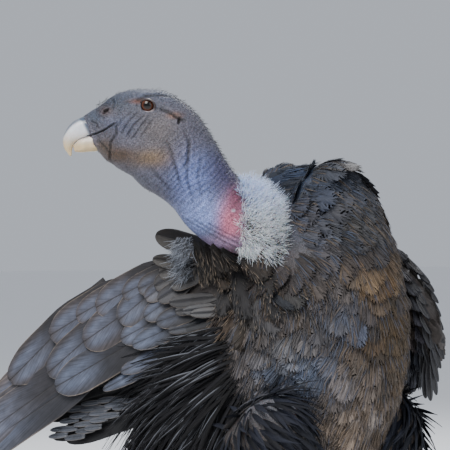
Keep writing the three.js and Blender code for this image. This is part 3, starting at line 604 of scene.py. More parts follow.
def skinRelief(reach, height, angle):
    side = smoothStep(0.25, 0.6, np.abs(np.sin(angle)))
    rise = np.zeros(reach.shape)
    for depth, width, line in creases:
        far, share = strokeDistance(reach, height, line)
        rise -= depth * np.exp(-(far / width) ** 2) * creaseEnds(share)
        rise += 0.4 * depth * np.exp(-((far - 2.2 * width) / width) ** 2) * creaseEnds(share)
    for atReach, atHeight, radius, swell in swells:
        far = np.hypot(reach - atReach, height - atHeight)
        rise += swell * np.exp(-(far / radius) ** 2)
    for pit in pits:
        tilt = math.radians(pit["tilt"])
        dr, dh = reach - pit["at"][0], height - pit["at"][1]
        x = (dr * math.cos(tilt) - dh * math.sin(tilt)) / pit["long"]
        y = (dr * math.sin(tilt) + dh * math.cos(tilt)) / pit["high"]
        far = np.hypot(x, y)
        rise -= pit["deep"] * (1 - smoothStep(0.55, 1.1, far))
        rise += 0.7 * np.exp(-((far - 1.5) / 0.4) ** 2)
    fromEye = np.hypot(reach - eye["reach"], height - eye["height"])
    rise -= eyeSocket["deep"] * (1 - smoothStep(eyeSocket["inner"], eyeSocket["outer"], fromEye))
    rise -= eyeSocket["foldDeep"] * np.exp(-(fromEye - eyeSocket["fold"]) ** 2)
    arcs = np.hypot(reach - wrinkles["centre"][0], height - wrinkles["centre"][1])
    waves = np.sin(arcs * 2 * math.pi / wrinkles["pitch"] + 0.6 * np.sin(reach * 0.35))
    rise += wrinkles["cheekRise"] * waves * nearness(reach, height, *wrinkles["cheek"])
    wander = height + 0.9 * reach
    waves = np.sin(wander * 0.75 + 2 * np.sin(reach * 0.11) + 1.5 * np.sin(height * 0.13))
    rise += wrinkles["throatRise"] * waves * nearness(reach, height, *wrinkles["throat"])
    waves = np.sin(reach * 1.1 + 2.2 * np.sin(height * 0.21))
    rise += wrinkles["fineRise"] * waves * np.sin(height * 0.9 + 2 * np.sin(reach * 0.17))
    return rise * side


# The head's front, as shares of the neck's line: where it leans with the bill's root, and closes in
headFront = {"lean": (0.9, 0.965), "close": (0.955, 0.985), "left": 0.1}


def makeHeadAndNeck():
    piece, t, angle = loftPiece("skin", throatLoft, 420, 200)
    points = meshPoints(piece.data)
    reach, height = dot(points, lookAlong), points[:, 2]
    points += throatLoft.normal(np.clip(t, 0.01, 0.99), angle) * skinRelief(reach, height, angle)[:, None]
    front = smoothStep(*headFront["lean"], t)
    points += lookAlong * (front * (0.42 * (height - 492) - 10))[:, None]
    points[:, 2] -= 4.5 * smoothStep(240, 262, reach) * smoothStep(498, 524, height)
    middle = throatLoft.path(t)
    close = 1 - (1 - headFront["left"]) * smoothStep(*headFront["close"], t)
    closing = (t > headFront["close"][0])[:, None]
    points = np.where(closing, middle + (points - middle) * close[:, None], points)
    setPoints(piece.data, points)
    return piece


def unite(target, tools):
    for tool in tools:
        cut = target.modifiers.new("union", "BOOLEAN")
        cut.operation = "UNION"
        cut.solver = "EXACT"
        cut.object = tool
        bpy.context.view_layer.objects.active = target
        bpy.ops.object.modifier_apply(modifier=cut.name)
        bpy.data.objects.remove(tool)
    target.select_set(False)


# One skin over body, shoulders, thighs, neck and head, sunk by the coat's depth where feathers lie
def makeSkin():
    piece = makeHeadAndNeck()
    turnOutward(piece)
    parts = [("body", torsoLoft, 60, 64), ("shoulders", shoulderLoft, 24, 40)]
    parts += [("thigh", loft, 24, 32) for loft in thighLofts.values()]
    bodies = [loftPiece(*part, -bird["coatDepth"])[0] for part in parts]
    for body in bodies:
        turnOutward(body)
    unite(bodies[0], bodies[1:])
    unite(piece, bodies[:1])
    settle(piece, meshPoints(piece.data))
    points = fromFrame(meshPoints(piece.data))
    bare = (dot(points, lookAlong) > bird["neckFrom"]) & (throatLoft.depthShare(points) < 1.12)
    across = dot(points, lookAcross) - bird["neckForward"]
    angle = np.arcsin(np.clip(np.abs(across) / 34, 0, 1))
    relief = skinRelief(dot(points, lookAlong), points[:, 2], angle)
    # Painted shade and light from the relief: the tint is darker in folds and pits and lighter on swells
    paintedReliefShading = np.clip(1 + 0.2 * relief, 0.3, 1.25)[:, None]
    paint(piece.data, np.where(bare[:, None], skinTint(points) * paintedReliefShading, plumageTint(points) * 0.85))
    piece.data.materials.append(bareSkin)
    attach(piece, "root")
    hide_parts("torso", "head", "neck", "thigh_left", "thigh_right")
    return piece


# Colours of the plumage, as soft patches on the breast: sideways and height as seen from the
# front right, half sizes, colour and strength
viewSide = -lookAlong
viewAway = lookAcross
plumageBase = linear("#3c3634")
plumagePatches = [
    (-16, 439, 54, 34, "#263246", 0.95), (46, 434, 42, 28, "#33353c", 0.9),
    (74, 384, 24, 40, "#3d3938", 0.85), (-4, 371, 42, 28, "#3d4352", 0.9),
    (33, 384, 34, 26, "#454648", 0.8), (-20, 339, 50, 22, "#403c3e", 0.8),
    (38, 344, 34, 16, "#38383f", 0.85), (68, 318, 34, 20, "#6e5a42", 0.95),
    (24, 304, 34, 14, "#4d4744", 0.8), (92, 345, 12, 24, "#5c4a36", 0.8), (29, 270, 36, 24, "#454b5a", 0.9),
    (-14, 262, 34, 22, "#554f4c", 0.8), (90, 253, 20, 56, "#56462f", 0.9),
    (92, 192, 20, 50, "#524434", 0.9), (-92, 241, 32, 34, "#6b6564", 0.9),
    (-8, 206, 44, 30, "#66748c", 0.95), (-40, 234, 30, 24, "#5a5c63", 0.85),
    (46, 204, 30, 36, "#6a6059", 0.85), (44, 150, 50, 40, "#8a7c70", 0.9),
    (-60, 180, 46, 26, "#55565e", 0.8), (62, 236, 16, 22, "#5d4b36", 0.7)]
# Painted shade in the narrow gaps between its tufts, as lines in sideways and height
paintedSlitShade = {"width": 4.5, "strength": 0.65, "lines": [
    [(52, 280), (62, 262), (72, 241), (75, 204), (78, 155), (80, 110)], [(48, 394), (54, 386), (60, 380)],
    [(28, 358), (33, 350), (38, 342)], [(68, 360), (73, 354), (78, 350)], [(-36, 300), (-14, 292), (8, 276)]]}


def plumageTint(points):
    sideways, height, away = dot(points, viewSide), points[:, 2], dot(points, viewAway)
    dome = 90 * smoothStep(390, 430, height)
    facing = smoothStep(40 + dome, -30 + dome, away)
    tint = patched(np.tile(plumageBase, (len(points), 1)), sideways, height, plumagePatches, facing)
    for line in paintedSlitShade["lines"]:
        far, _ = strokeDistance(sideways, height, line)
        tint *= 1 - (paintedSlitShade["strength"] * facing * np.exp(-(far / paintedSlitShade["width"]) ** 2))[:, None]
    return tint


ruffMiddle = lookPoint(62, 372)


# The way the body's feathers lie: out from the ruff, back over the shoulders, down the breast
def coatFlow(points, normals):
    away = points - ruffMiddle
    near = np.exp(-(np.linalg.norm(away, axis=1) / 125) ** 2)[:, None]
    flat = np.linalg.norm(away[:, :2], axis=1)
    away[:, 2] = np.minimum(away[:, 2], 0) - 0.25 * flat * smoothStep(-20, 40, away[:, 2])
    high = smoothStep(330, 420, points[:, 2])[:, None]
    level = np.ones(len(points))
    rest = np.column_stack([0.15 * np.sign(points[:, 0]), 0.5 * level, -0.86 * level])
    share = np.clip(near * 1.1 + 0.35 * high, 0, 1)
    flow = unit(away) * share + rest * (1 - share)
    flow -= normals * dot(flow, normals)[:, None]
    return unit(flow)


# Keeps points that are a pitch apart
def spread(points, pitch):
    cells = {}
    kept = []
    keys = np.floor(points / pitch).astype(int)
    around = [(i, j, k) for i in (-1, 0, 1) for j in (-1, 0, 1) for k in (-1, 0, 1)]
    for n, (x, y, z) in enumerate(keys):
        a, b, c = points[n]
        near = (other for i, j, k in around for other in cells.get((x + i, y + j, z + k), ()))
        if all((a - p) ** 2 + (b - q) ** 2 + (c - r) ** 2 >= pitch ** 2 for p, q, r in near):
            cells.setdefault((x, y, z), []).append((a, b, c))
            kept.append(n)
    return np.array(kept, int)


# Roots scattered evenly over a stretch of a loft, where keep says so
def scatter(loft, rng, piece, keep, grow=0.0, stretch=(0.004, 0.996)):
    t = rng.uniform(*stretch, piece["tries"])
    angle = rng.uniform(-math.pi, math.pi, piece["tries"])
    points = loft.surface(t, angle, grow)
    kept = keep(points, angle)
    t, angle, points = t[kept], angle[kept], points[kept]
    chosen = spread(points, piece["pitch"])
    return t[chosen], angle[chosen], points[chosen], loft.normal(t[chosen], angle[chosen])


# Columns that pieces with a length, a width and a thickness share
def sizesOf(piece, rng, count):
    return {"length": rng.uniform(*piece["length"], count), "width": rng.uniform(*piece["width"], count),
            "thick": piece["thick"]}


# Columns of feathers that are rooted a little under a surface and rise from it
def rooted(points, normals, flow, rise, **others):
    direction = unit(flow + normals * rise[:, None])
    return {"root": points - normals * 1.5, "dir": direction, "out": normals, **others}


# A soft feather: a curved plate whose rim breaks up into barbs. Columns: share along, across, height
def softTemplate(teeth, fringe, shoulder=0.55):
    spine = np.linspace(0, 0.9, 6)
    points = [(s, 0.0, 0.5) for s in spine] + [(s, 0.0, -0.5) for s in spine[[1, 3, 5]]]
    faces = []
    for sign in (1, -1):
        rim = []
        for n in range(teeth):
            q = n / (teeth - 1)
            turned = max(0.0, (q - 0.35) / 0.65) * math.pi / 2
            s = shoulder * min(1.0, q / 0.35) + (1 - shoulder) * math.sin(turned)
            w = (0.35 + 0.65 * float(smoothStep(0, 0.35, q))) * math.cos(turned) + 0.02
            notch = fringe * (n % 2) * min(1.0, 0.25 + 1.2 * q)
            rim.append(len(points))
            points.append((s * (1 - 0.6 * notch) + 0.03 * (1 - n % 2), sign * w * (1 - notch), 0.0))
        for centre, flip in (((0, 1, 2, 3, 4, 5), 1), ((6, 6, 7, 7, 8, 8), -1)):
            for n in range(teeth - 1):
                c, d = (min(5, int(5.999 * k / (teeth - 1))) for k in (n, n + 1))
                made = [(centre[c], rim[n], rim[n + 1])]
                if centre[c] != centre[d]:
                    made.append((centre[c], rim[n + 1], centre[d]))
                faces += [face if flip * sign > 0 else face[::-1] for face in made]
    return np.array(points), np.array(faces)


# A plume: the same plate with smooth edges, long and narrow
def plumeTemplate(steps, widthOf):
    points, faces = [], []
    for n in range(steps):
        s = n / (steps - 1)
        w = widthOf(s)
        points += [(s, -w, 0.0), (s, 0.0, 0.5), (s, w, 0.0), (s, 0.0, -0.5)]
    for n in range(steps - 1):
        o = 4 * n
        for j in range(4):
            a, b = o + j, o + (j + 1) % 4
            faces += [(a, a + 4, b + 4), (a, b + 4, b)]
    end = 4 * (steps - 1)
    faces += [(0, 1, 2), (0, 2, 3), (end, end + 2, end + 1), (end, end + 3, end + 2)]
    return np.array(points), np.array(faces)


# A flight feather or covert: two faces that share a rim, a raised shaft, and a rounded tip
def vaneTemplate(steps, widthOf, columns=(0.04, 0.36, 0.7, 1.0)):
    acrossList = [-c for c in columns[::-1]] + [0.0] + list(columns)
    count = len(acrossList)
    points, faces = [], []
    shares = 1 - (1 - np.linspace(0, 1, steps)) ** 1.6
    for s in shares:
        w = widthOf(s)
        for a in acrossList:
            points.append((s, a * w, 0.0 if abs(a) == 1 else 0.5 + (0.9 if abs(a) < 0.02 else 0)))
        for a in acrossList[1:-1]:
            points.append((s, a * w, -0.5))
    row = 2 * count - 2
    for n in range(steps - 1):
        o = n * row
        top = [o + j for j in range(count)]
        under = [o] + [o + count + j for j in range(count - 2)] + [o + count - 1]
        for line, flip in ((top, False), (under, True)):
            for a, b in zip(line, line[1:]):
                pair = [(a, a + row, b + row), (a, b + row, b)]
                faces += [f[::-1] for f in pair] if flip else pair
    for o, flip in ((0, False), ((steps - 1) * row, True)):
        top = [o + j for j in range(count)]
        under = [o] + [o + count + j for j in range(count - 2)] + [o + count - 1]
        for n in range(count - 1):
            cap = {(top[n], top[n + 1], under[n + 1]), (top[n], under[n + 1], under[n])}
            for f in cap:
                if len(set(f)) == 3:
                    faces.append(f[::-1] if flip else f)
    return np.array(points), np.array(faces)


def roundVane(s):
    root = 0.32 + 0.68 * smoothStep(0, 0.45, s)
    return float(root * math.sqrt(max(0.0, 1 - max(0.0, (s - 0.72) / 0.285) ** 2)))


def taperVane(s):
    return float((0.5 + 0.5 * smoothStep(0, 0.3, s)) * (1 - 0.9 * smoothStep(0.45, 1.02, s)))


# A feather's own directions: along it, across it and up from its face
def featherAxes(feathers):
    along = unit(feathers["dir"])
    up = unit(feathers["out"] - along * dot(feathers["out"], along)[:, None])
    return along, np.cross(up, along), up


# Columns of feathers by name, one value for each, where one number stands for all
def columnsOf(feathers, *names):
    count = len(feathers["root"])
    return [np.broadcast_to(np.asarray(feathers.get(name, 0.0), float), (count,)) for name in names]


# Lays copies of a template: every column of feathers has one row for each copy
def layFeathers(template, feathers, rng, ragged=0.0):
    shape, faces = template
    count, size = len(feathers["root"]), len(shape)
    s, a, h = shape[:, 0], shape[:, 1], shape[:, 2]
    along, side, up = featherAxes(feathers)
    names = ("length", "width", "thick", "bend", "sweep", "cup", "twist")
    length, width, thick, bend, sweep, cup, twist = (c[:, None] for c in columnsOf(feathers, *names))
    shake = 1 + ragged * rng.uniform(-1, 1, (count, size)) * (s > 0.35)
    x = length * s * (1 + 0.4 * (shake - 1))
    y = width / 2 * a * shake
    z = thick * h * (1 - 0.5 * s) - bend * length * s * s - cup * width * (a * a) + twist * y * s
    y = y + sweep * length * s * s
    points = (feathers["root"][:, None, :] + along[:, None, :] * x[..., None]
              + side[:, None, :] * y[..., None] + up[:, None, :] * z[..., None])
    index = faces[None] + (np.arange(count) * size)[:, None, None]
    vane = np.broadcast_to(np.column_stack([0.5 + 0.5 * a, s])[None], (count, size, 2)).reshape(-1, 2)
    patch = np.column_stack([0.5 * a, s - 0.5]) * 0.003
    bake = (feathers["spot"][:, None, :] + patch[None]).reshape(-1, 2)
    tint = np.repeat(feathers["tint"], size, axis=0)
    rim = np.tile(np.abs(h) < 0.01, count)
    return {"points": points.reshape(-1, 3), "faces": index.reshape(-1, 3), "tint": tint, "vane": vane,
            "bake": bake, "rim": rim}


# Pulls a laid layer's tint towards a colour
def tinge(layer, code, share):
    layer["tint"] = toward(layer["tint"], code, share)


# Columns of feathers that reach from one row of points to another
def between(start, stop, **others):
    return {"root": start, "dir": stop - start, "length": np.linalg.norm(stop - start, axis=1), **others}


# Places on the flat map for feathers that lie in a row
def rowSpots(count, level, low=0.1, high=0.9):
    return np.column_stack([np.linspace(low, high, count), np.full(count, level)])


def addCoat(name, layers, material, replaces=()):
    starts = np.cumsum([0] + [len(layer["points"]) for layer in layers[:-1]])
    joined = {key: np.concatenate([layer[key] for layer in layers]) for key in layers[0]}
    joined["faces"] = np.concatenate([layer["faces"] + start for layer, start in zip(layers, starts)])
    joined["points"][:, 2] = np.maximum(joined["points"][:, 2], 0.4)
    joined["bake"] = np.clip(joined["bake"], 0.002, 0.998)
    piece = addMesh(name, material, **joined)
    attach(piece, "root")
    if replaces:
        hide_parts(*replaces)
    print(name, len(joined["faces"]), "triangles")


skin = makeSkin()
skinTree = BVHTree.FromObject(skin, bpy.context.evaluated_depsgraph_get())
print("skin made", len(skin.data.polygons))


# How far the skin falls away under each feather's tip, in its root's own up: a set depth where there is
# no skin in reach, and never a rise where it is the neck's
def fallUnder(points, directions, normals, lengths, missed=30, above=70, reach=0.13):
    hits = points - normals * missed
    over = toFrame(points + directions * lengths[:, None] + normals * above)
    for n in range(len(points)):
        hit = skinTree.ray_cast(Vector(over[n]), Vector(-normals[n]), reach)[0]
        if hit is not None:
            hits[n] = fromFrame(np.array(hit))
    fall = dot(hits - points, normals)
    onNeck = (throatLoft.depthShare(hits) < 1.08) & (dot(hits, lookAlong) > bird["neckFrom"])
    return np.where(onNeck, np.minimum(fall, 0), fall)


def clearOf(*lofts, margin=0.97):
    return lambda points: np.all([loft.depthShare(points) > margin for loft in lofts], axis=0)


# Roots scattered evenly over the skin, apart from the bare neck and head, and the skin's way outwards there
def scatterSkin(rng, piece):
    mesh = skin.data
    mesh.calc_loop_triangles()
    corners = np.empty(len(mesh.loop_triangles) * 3, np.int32)
    mesh.loop_triangles.foreach_get("vertices", corners)
    corners = corners.reshape(-1, 3)
    points, outs = fromFrame(meshPoints(mesh)), meshPoints(mesh, "normal")
    a, b, c = (points[corners[:, n]] for n in range(3))
    middle = (a + b + c) / 3
    reach = dot(middle, lookAlong)
    onNeck = (throatLoft.depthShare(middle) < 1.1) & (reach > bird["neckFrom"])
    overNeck = (middle[:, 2] > 395) & (reach > 90)
    area = np.linalg.norm(np.cross(b - a, c - a), axis=1) * ~(onNeck | overNeck)
    tries = piece["tries"]
    pick = rng.choice(len(area), tries, p=area / area.sum())
    u, v = rng.random(tries), rng.random(tries)
    u, v = np.where(u + v > 1, 1 - u, u)[:, None], np.where(u + v > 1, 1 - v, v)[:, None]
    mixed = lambda values: sum(values[corners[pick, n]] * w for n, w in ((0, 1 - u - v), (1, u), (2, v)))
    roots = mixed(points)
    chosen = spread(roots, piece["pitch"])
    return roots[chosen], unit(mixed(outs)[chosen])


# Body coat: soft feathers, each with fine barbs fanned out over it. It is cut by height into pieces.
coat = {"seed": 11, "pitch": 9.8, "tries": 40000, "length": (39, 56), "width": (28, 38), "fringe": 0.12,
        "thick": 0.5, "upperFrom": 285, "lowerTo": 165, "barbsFront": 18, "barbsBack": 7,
        "brown": "#75634e", "slate": "#4c5a74"}
barbs = {"lean": 0.45, "widths": (1.3, 2.4), "thick": 0.4}
softShape = softTemplate(23, coat["fringe"])
plainShape = softTemplate(15, coat["fringe"])
lockShape = vaneTemplate(7, taperVane, (0.55, 1.0))


# A hair: three sides, widest where widthOf says
def hairTemplate(steps, widthOf=lambda s: 1 - 0.88 * s):
    points, faces = [], []
    for n in range(steps):
        s = n / (steps - 1)
        w = widthOf(s)
        points += [(s, -w, -0.3), (s, w, -0.3), (s, 0.0, 0.6)]
    for n in range(steps - 1):
        for j in range(3):
            a, b = 3 * n + j, 3 * n + (j + 1) % 3
            faces += [(a, b + 3, a + 3), (a, b, b + 3)]
    end = 3 * (steps - 1)
    faces += [(0, 2, 1), (end, end + 1, end + 2)]
    return np.array(points), np.array(faces)


barbShape = hairTemplate(4, lambda s: (0.5, 1.0, 0.72, 0.1)[round(s * 3)])


def pickRows(feathers, chosen):
    return {key: value[chosen] if isinstance(value, np.ndarray) else value for key, value in feathers.items()}


# Barbs that lie on feathers already worked out and reach their rims. Beyond is how far, as a share of the
# feather's length, and inner keeps them off its middle.
def barbsOver(feathers, rng, each, lean, widths, thick, start=(0.1, 0.72), shade=(0.76, 1.28), beyond=1.04,
              longest=99.0, inner=0.0):
    rows = pickRows(feathers, np.repeat(np.arange(len(feathers["root"])), each))
    count = len(rows["root"])
    length, width, bend, cup = columnsOf(rows, "length", "width", "bend", "cup")
    s, a = rng.uniform(*start, count), rng.uniform(inner, 0.9, count) * rng.choice([-1, 1], count)
    along, side, up = featherAxes(rows)
    half = width / 2 * (0.45 + 0.55 * smoothStep(0, 0.4, s))
    height = 0.2 - bend * length * s * s - cup * width * a * a
    root = rows["root"] + along * (length * s)[:, None] + side * (half * a)[:, None] + up * height[:, None]
    turned = lean * a + rng.normal(0, 0.09, count)
    toRim = length * np.maximum(beyond * np.sqrt(1 - 0.5 * a * a) - s, 0.16)
    toRim = np.minimum(toRim, longest * rng.uniform(0.7, 1, count))
    direction = (along * np.cos(turned)[:, None] + side * np.sin(turned)[:, None]
                 + up * (0.06 - 2 * bend * s - cup * a * lean)[:, None])
    return {"root": root, "dir": direction, "out": rows["out"], "length": toRim,
            "width": rng.uniform(*widths, count), "thick": thick, "bend": bend * toRim / length + 0.03,
            "sweep": -0.2 * a + rng.normal(0, 0.05, count),
            "tint": rows["tint"] * rng.uniform(*shade, (count, 1)), "spot": rows["spot"]}


def makeBodyCoat():
    rng = np.random.default_rng(coat["seed"])
    points, normals = scatterSkin(rng, coat)
    grown = points + normals * bird["coatDepth"]
    lofts = (torsoLoft, shoulderLoft, *thighLofts.values())
    nearest = np.abs(np.column_stack([loft.depthShare(grown) for loft in lofts]) - 1).argmin(axis=1)
    coated = (nearest < 2) & (points[:, 2] > 3)  # the thighs have locks instead, and the floor is left free
    points, normals = points[coated], normals[coated]
    count = len(points)
    flow = coatFlow(points, normals)
    flow = unit(flow + np.cross(normals, flow) * rng.normal(0, 0.13, (count, 1)))
    shorter = 0.3 * smoothStep(20, 55, dot(points, lookAlong)) * smoothStep(300, 330, points[:, 2])
    length = rng.uniform(*coat["length"], count) * (1 - shorter)  # the ones on the dome are shorter
    fall = fallUnder(points, flow, normals, length)
    # In hollows and at edges they are shorter, so that they neither dive nor stand out
    middle = fallUnder(points, flow, normals, length * 0.5)
    length = np.where(fall > 8, length * 0.5, np.where(middle > 0.25 * fall + 3, length * 0.62, length))
    fall = np.clip(fallUnder(points, flow, normals, length), -28, 5)
    middle = np.clip(fallUnder(points, flow, normals, length * 0.5), -28, 2)
    rise = rng.uniform(0.05, 0.10, count)
    lift = rng.uniform(0.8, 2.6, count)
    bend = np.minimum(rise - (fall + lift) / length, 2 * rise - 4 * (middle + lift) / length)
    mottle = 0.6 + 0.6 * rng.random((count, 1))
    warm = 1 + rng.normal(0, 0.06, (count, 1)) * np.array([[1.0, 0.2, -1.0]])
    tint = plumageTint(points + flow * (0.6 * length)[:, None]) * mottle * warm
    feathers = rooted(points, normals, flow, rise, length=length, width=rng.uniform(*coat["width"], count),
                      bend=np.maximum(bend, -0.14), cup=rng.uniform(0.02, 0.05, count), thick=coat["thick"],
                      sweep=rng.normal(0, 0.05, count), tint=tint, spot=torsoLoft.spots(points))
    front = dot(normals, -viewAway) > -0.1
    upper, lower = points[:, 2] > coat["upperFrom"], points[:, 2] < coat["lowerTo"]
    for name, chosen, shape, each in (("Breast", front & upper, softShape, coat["barbsFront"]),
                                      ("Belly", front & ~upper & ~lower, softShape, coat["barbsFront"]),
                                      ("Lower", front & lower, softShape, coat["barbsFront"]),
                                      ("Back", ~front, plainShape, coat["barbsBack"])):
        part = pickRows(feathers, chosen)
        addCoat("coat" + name, [layFeathers(shape, part, rng, 0.03)], softFeather)
        fine = barbsOver(part, rng, each, **barbs)
        kind = rng.random(len(fine["root"]))
        for code, few in ((coat["brown"], kind < 0.16), (coat["slate"], kind > 0.82)):
            fine["tint"] = toward(fine["tint"], code, 0.45 * few)
        addCoat("barbs" + name, [layFeathers(barbShape, fine, rng)], softFeather)


makeBodyCoat()

# Locks of the thighs, which hang down and away from the front
locks = {"seed": 12, "pitch": 5.6, "tries": 16000, "length": (34, 62), "width": (4.5, 7.5), "thick": 0.8,
         "tint": "#15161b"}


def makeThighCoat():
    rng = np.random.default_rng(locks["seed"])
    layers = []
    keep = lambda points, _: clearOf(torsoLoft)(points) & (points[:, 2] > 4)
    for side, loft in thighLofts.items():
        t, angle, points, normals = scatter(loft, rng, locks, keep, -bird["coatDepth"])
        count = len(points)
        lie = viewSide * 0.7 - upward * 0.6
        lie = lie * (np.array([-1, 1, 1]) if side == "left" else 1)
        flow = unit(lie - normals * dot(normals, lie)[:, None] + rng.normal(0, 0.1, (count, 3)))
        rise = rng.uniform(0.05, 0.16, count)
        # Each lock leans a random way towards blue: painted sheen of the blue-black plumage
        paintedBlueSheen = 1 + rng.uniform(0, 0.5, (count, 1)) * np.array([[0.0, 0.3, 1.0]])
        # The two thighs share the flat map
        around = 0.01 + 0.48 * (angle / (2 * math.pi) + 0.5) + (0.5 if side == "left" else 0)
        feathers = rooted(points, normals, flow, rise, **sizesOf(locks, rng, count), bend=rise * 1.3 + 0.1,
                          sweep=rng.normal(0, 0.12, count), cup=0.06,
                          tint=linear(locks["tint"]) * rng.uniform(0.5, 2.0, (count, 1)) * paintedBlueSheen,
                          spot=np.column_stack([around, 0.01 + 0.98 * t]))
        layers.append(layFeathers(lockShape, feathers, rng))
    addCoat("coatThighs", layers, blackFeather)


makeThighCoat()
print("body coat made")

# Ruff of white down: it stands up at the front, and leans back behind
ruff = {"seed": 21, "pitch": 0.96, "tries": 110000, "stretch": (0.0, 0.36), "from": 44, "to": 89,
        "length": (13, 27), "width": 0.6, "white": "#f4f8ff", "blue": "#bcd2fa", "grey": "#7d828d"}
hairShape = hairTemplate(4)


# Its front edge is a little uneven
def inRuff(points, angle):
    reach = dot(points, lookAlong)
    limit = ruff["to"] + 3 * np.sin(angle * 7) + 2.5 * np.sin(angle * 16 + 1)
    return (reach > ruff["from"]) & (reach < limit) & clearOf(torsoLoft, shoulderLoft, margin=0.9)(points)


def makeRuff():
    rng = np.random.default_rng(ruff["seed"])
    t, angle, points, normals = scatter(throatLoft, rng, ruff, inRuff, -1.0, ruff["stretch"])
    reach, height = dot(points, lookAlong), points[:, 2]
    count = len(points)
    out = unit(normals - lookAlong * dot(normals, lookAlong)[:, None])
    front = smoothStep(ruff["to"] - 14, ruff["to"] + 4, reach)
    rear = smoothStep(ruff["to"] - 20, ruff["from"], reach)
    direction = out * (1.15 + 0.3 * front - 0.45 * rear)[:, None] - lookAlong * (0.95 - 0.95 * front)[:, None]
    wave = np.sin(angle * 13 + 3 * np.sin(reach * 0.2)) + np.sin(angle * 5 - reach * 0.16)
    direction = direction + wave[:, None] * np.cross(out, lookAlong) * 0.2 + rng.normal(0, 0.3, (count, 3))
    pale = (0.8 + 0.25 * rng.random(count))[:, None]
    # Bluer towards the top: painted blue sky light on the white down
    tint = toward(linear(ruff["white"]), ruff["blue"], smoothStep(375, 430, height)) * pale
    low = (smoothStep(66, 46, reach) * smoothStep(410, 350, height))[:, None]
    tint = np.clip(tint + (linear(ruff["grey"]) - tint) * low * rng.random((count, 1)), 0, 0.96)
    length = rng.uniform(*ruff["length"], count) * (0.95 - 0.5 * front)
    feathers = {"root": points, "dir": direction, "out": out,
                "length": length * (0.55 + 0.45 * smoothStep(328, 350, height)),
                "width": np.full(count, ruff["width"]), "thick": ruff["width"],
                "bend": rng.uniform(-0.3, 0.55, count), "sweep": rng.normal(0, 0.25, count), "tint": tint,
                "spot": flatSpots(angle, t / 0.4)}
    facing = angle > 0
    for name, chosen in (("ruffDownA", facing), ("ruffDownB", ~facing)):
        addCoat(name, [layFeathers(hairShape, pickRows(feathers, chosen), rng)], whiteDown, ["ruff"])


makeRuff()

# Wings. Coverts of the upper face: the tip's a and b in the wing's plane, length, width, slant and lift
coverts = [
    (317, 73, 175, 62, -17, 0), (257, 44, 160, 56, -10, 1.5), (251, 19, 165, 54, 3, 3),
    (236, 76, 110, 36, 2, 0), (240, 92, 150, 58, 1, 2.5), (194, 51, 135, 56, -2, 3.5),
    (163, 84, 130, 52, 3, 4), (140, 20, 92, 36, 3, 4), (135, 45, 100, 50, -12, 5),
    (127, 3, 112, 30, 7, 5.5), (158, -14, 190, 28, 7, 2), (192, -18, 220, 22, 5, 1),
    (120, 75, 90, 38, 2, 4.5), (98, 24, 66, 30, -8, 6.5), (84, 8, 76, 27, 10, 7.5),
    (74, -10, 90, 17, 13, 7), (88, 45, 60, 29, -16, 7), (71, 31, 60, 26, -8, 8), (56, 18, 66, 18, 20, 9),
    (36, -10, 60, 14, 18, 9), (94, 64, 62, 32, 2, 7), (70, 52, 54, 28, -4, 8), (48, 38, 50, 26, 0, 9),
    (54, 4, 64, 16, 14, 8.5), (44, -2, 60, 14, 16, 9), (62, -14, 90, 14, 12, 6), (196, 93, 110, 44, 3, 2),
    (60, 66, 50, 28, 6, 7.5)]
# Flight feathers: their tips from the innermost to the outermost, and how far they lie under the coverts
secondaries = {"count": 10, "tipA": (374, 452), "tipB": (66, 17), "length": (225, 330), "width": 54,
               "slant": (-8, 1), "sink": -4}
primaries = {"count": 10, "tipA": (466, 572), "tipB": (60, 30), "length": (300, 320), "width": 46,
             "slant": (-5, 0), "sink": -8}
quill = {"seed": {"left": 31, "right": 32}, "thick": 0.9, "warm": "#3f3a3b", "cool": "#363d4a",
         "paintedSheen": "#616c84", "edge": "#9a8b7a", "shadow": "#1a191c"}
vaneShape = vaneTemplate(15, roundVane, (0.03, 0.4, 0.8, 0.94, 1.0))


# Roots and directions of feathers from their tips. Each rises to lie on the one farther out.
def fromTips(wing, rows, low, high):
    a, b, length, width, slant, lift = np.array(rows, float).T
    radians = np.radians(slant)
    tipB = b + wing["lead"] * nearShare(a)
    rootA, rootB = a - length * np.cos(radians), tipB - length * np.sin(radians)
    root = wingPoint(wing, rootA, rootB, armRise(wing, rootA, rootB) + low)
    tip = wingPoint(wing, a, tipB, armRise(wing, a, tipB) + high + lift)
    spot = np.column_stack([0.06 + 0.88 * (rootA + 90) / 520, 0.5 + rootB / 400])
    return between(root, tip, width=width, spot=spot)


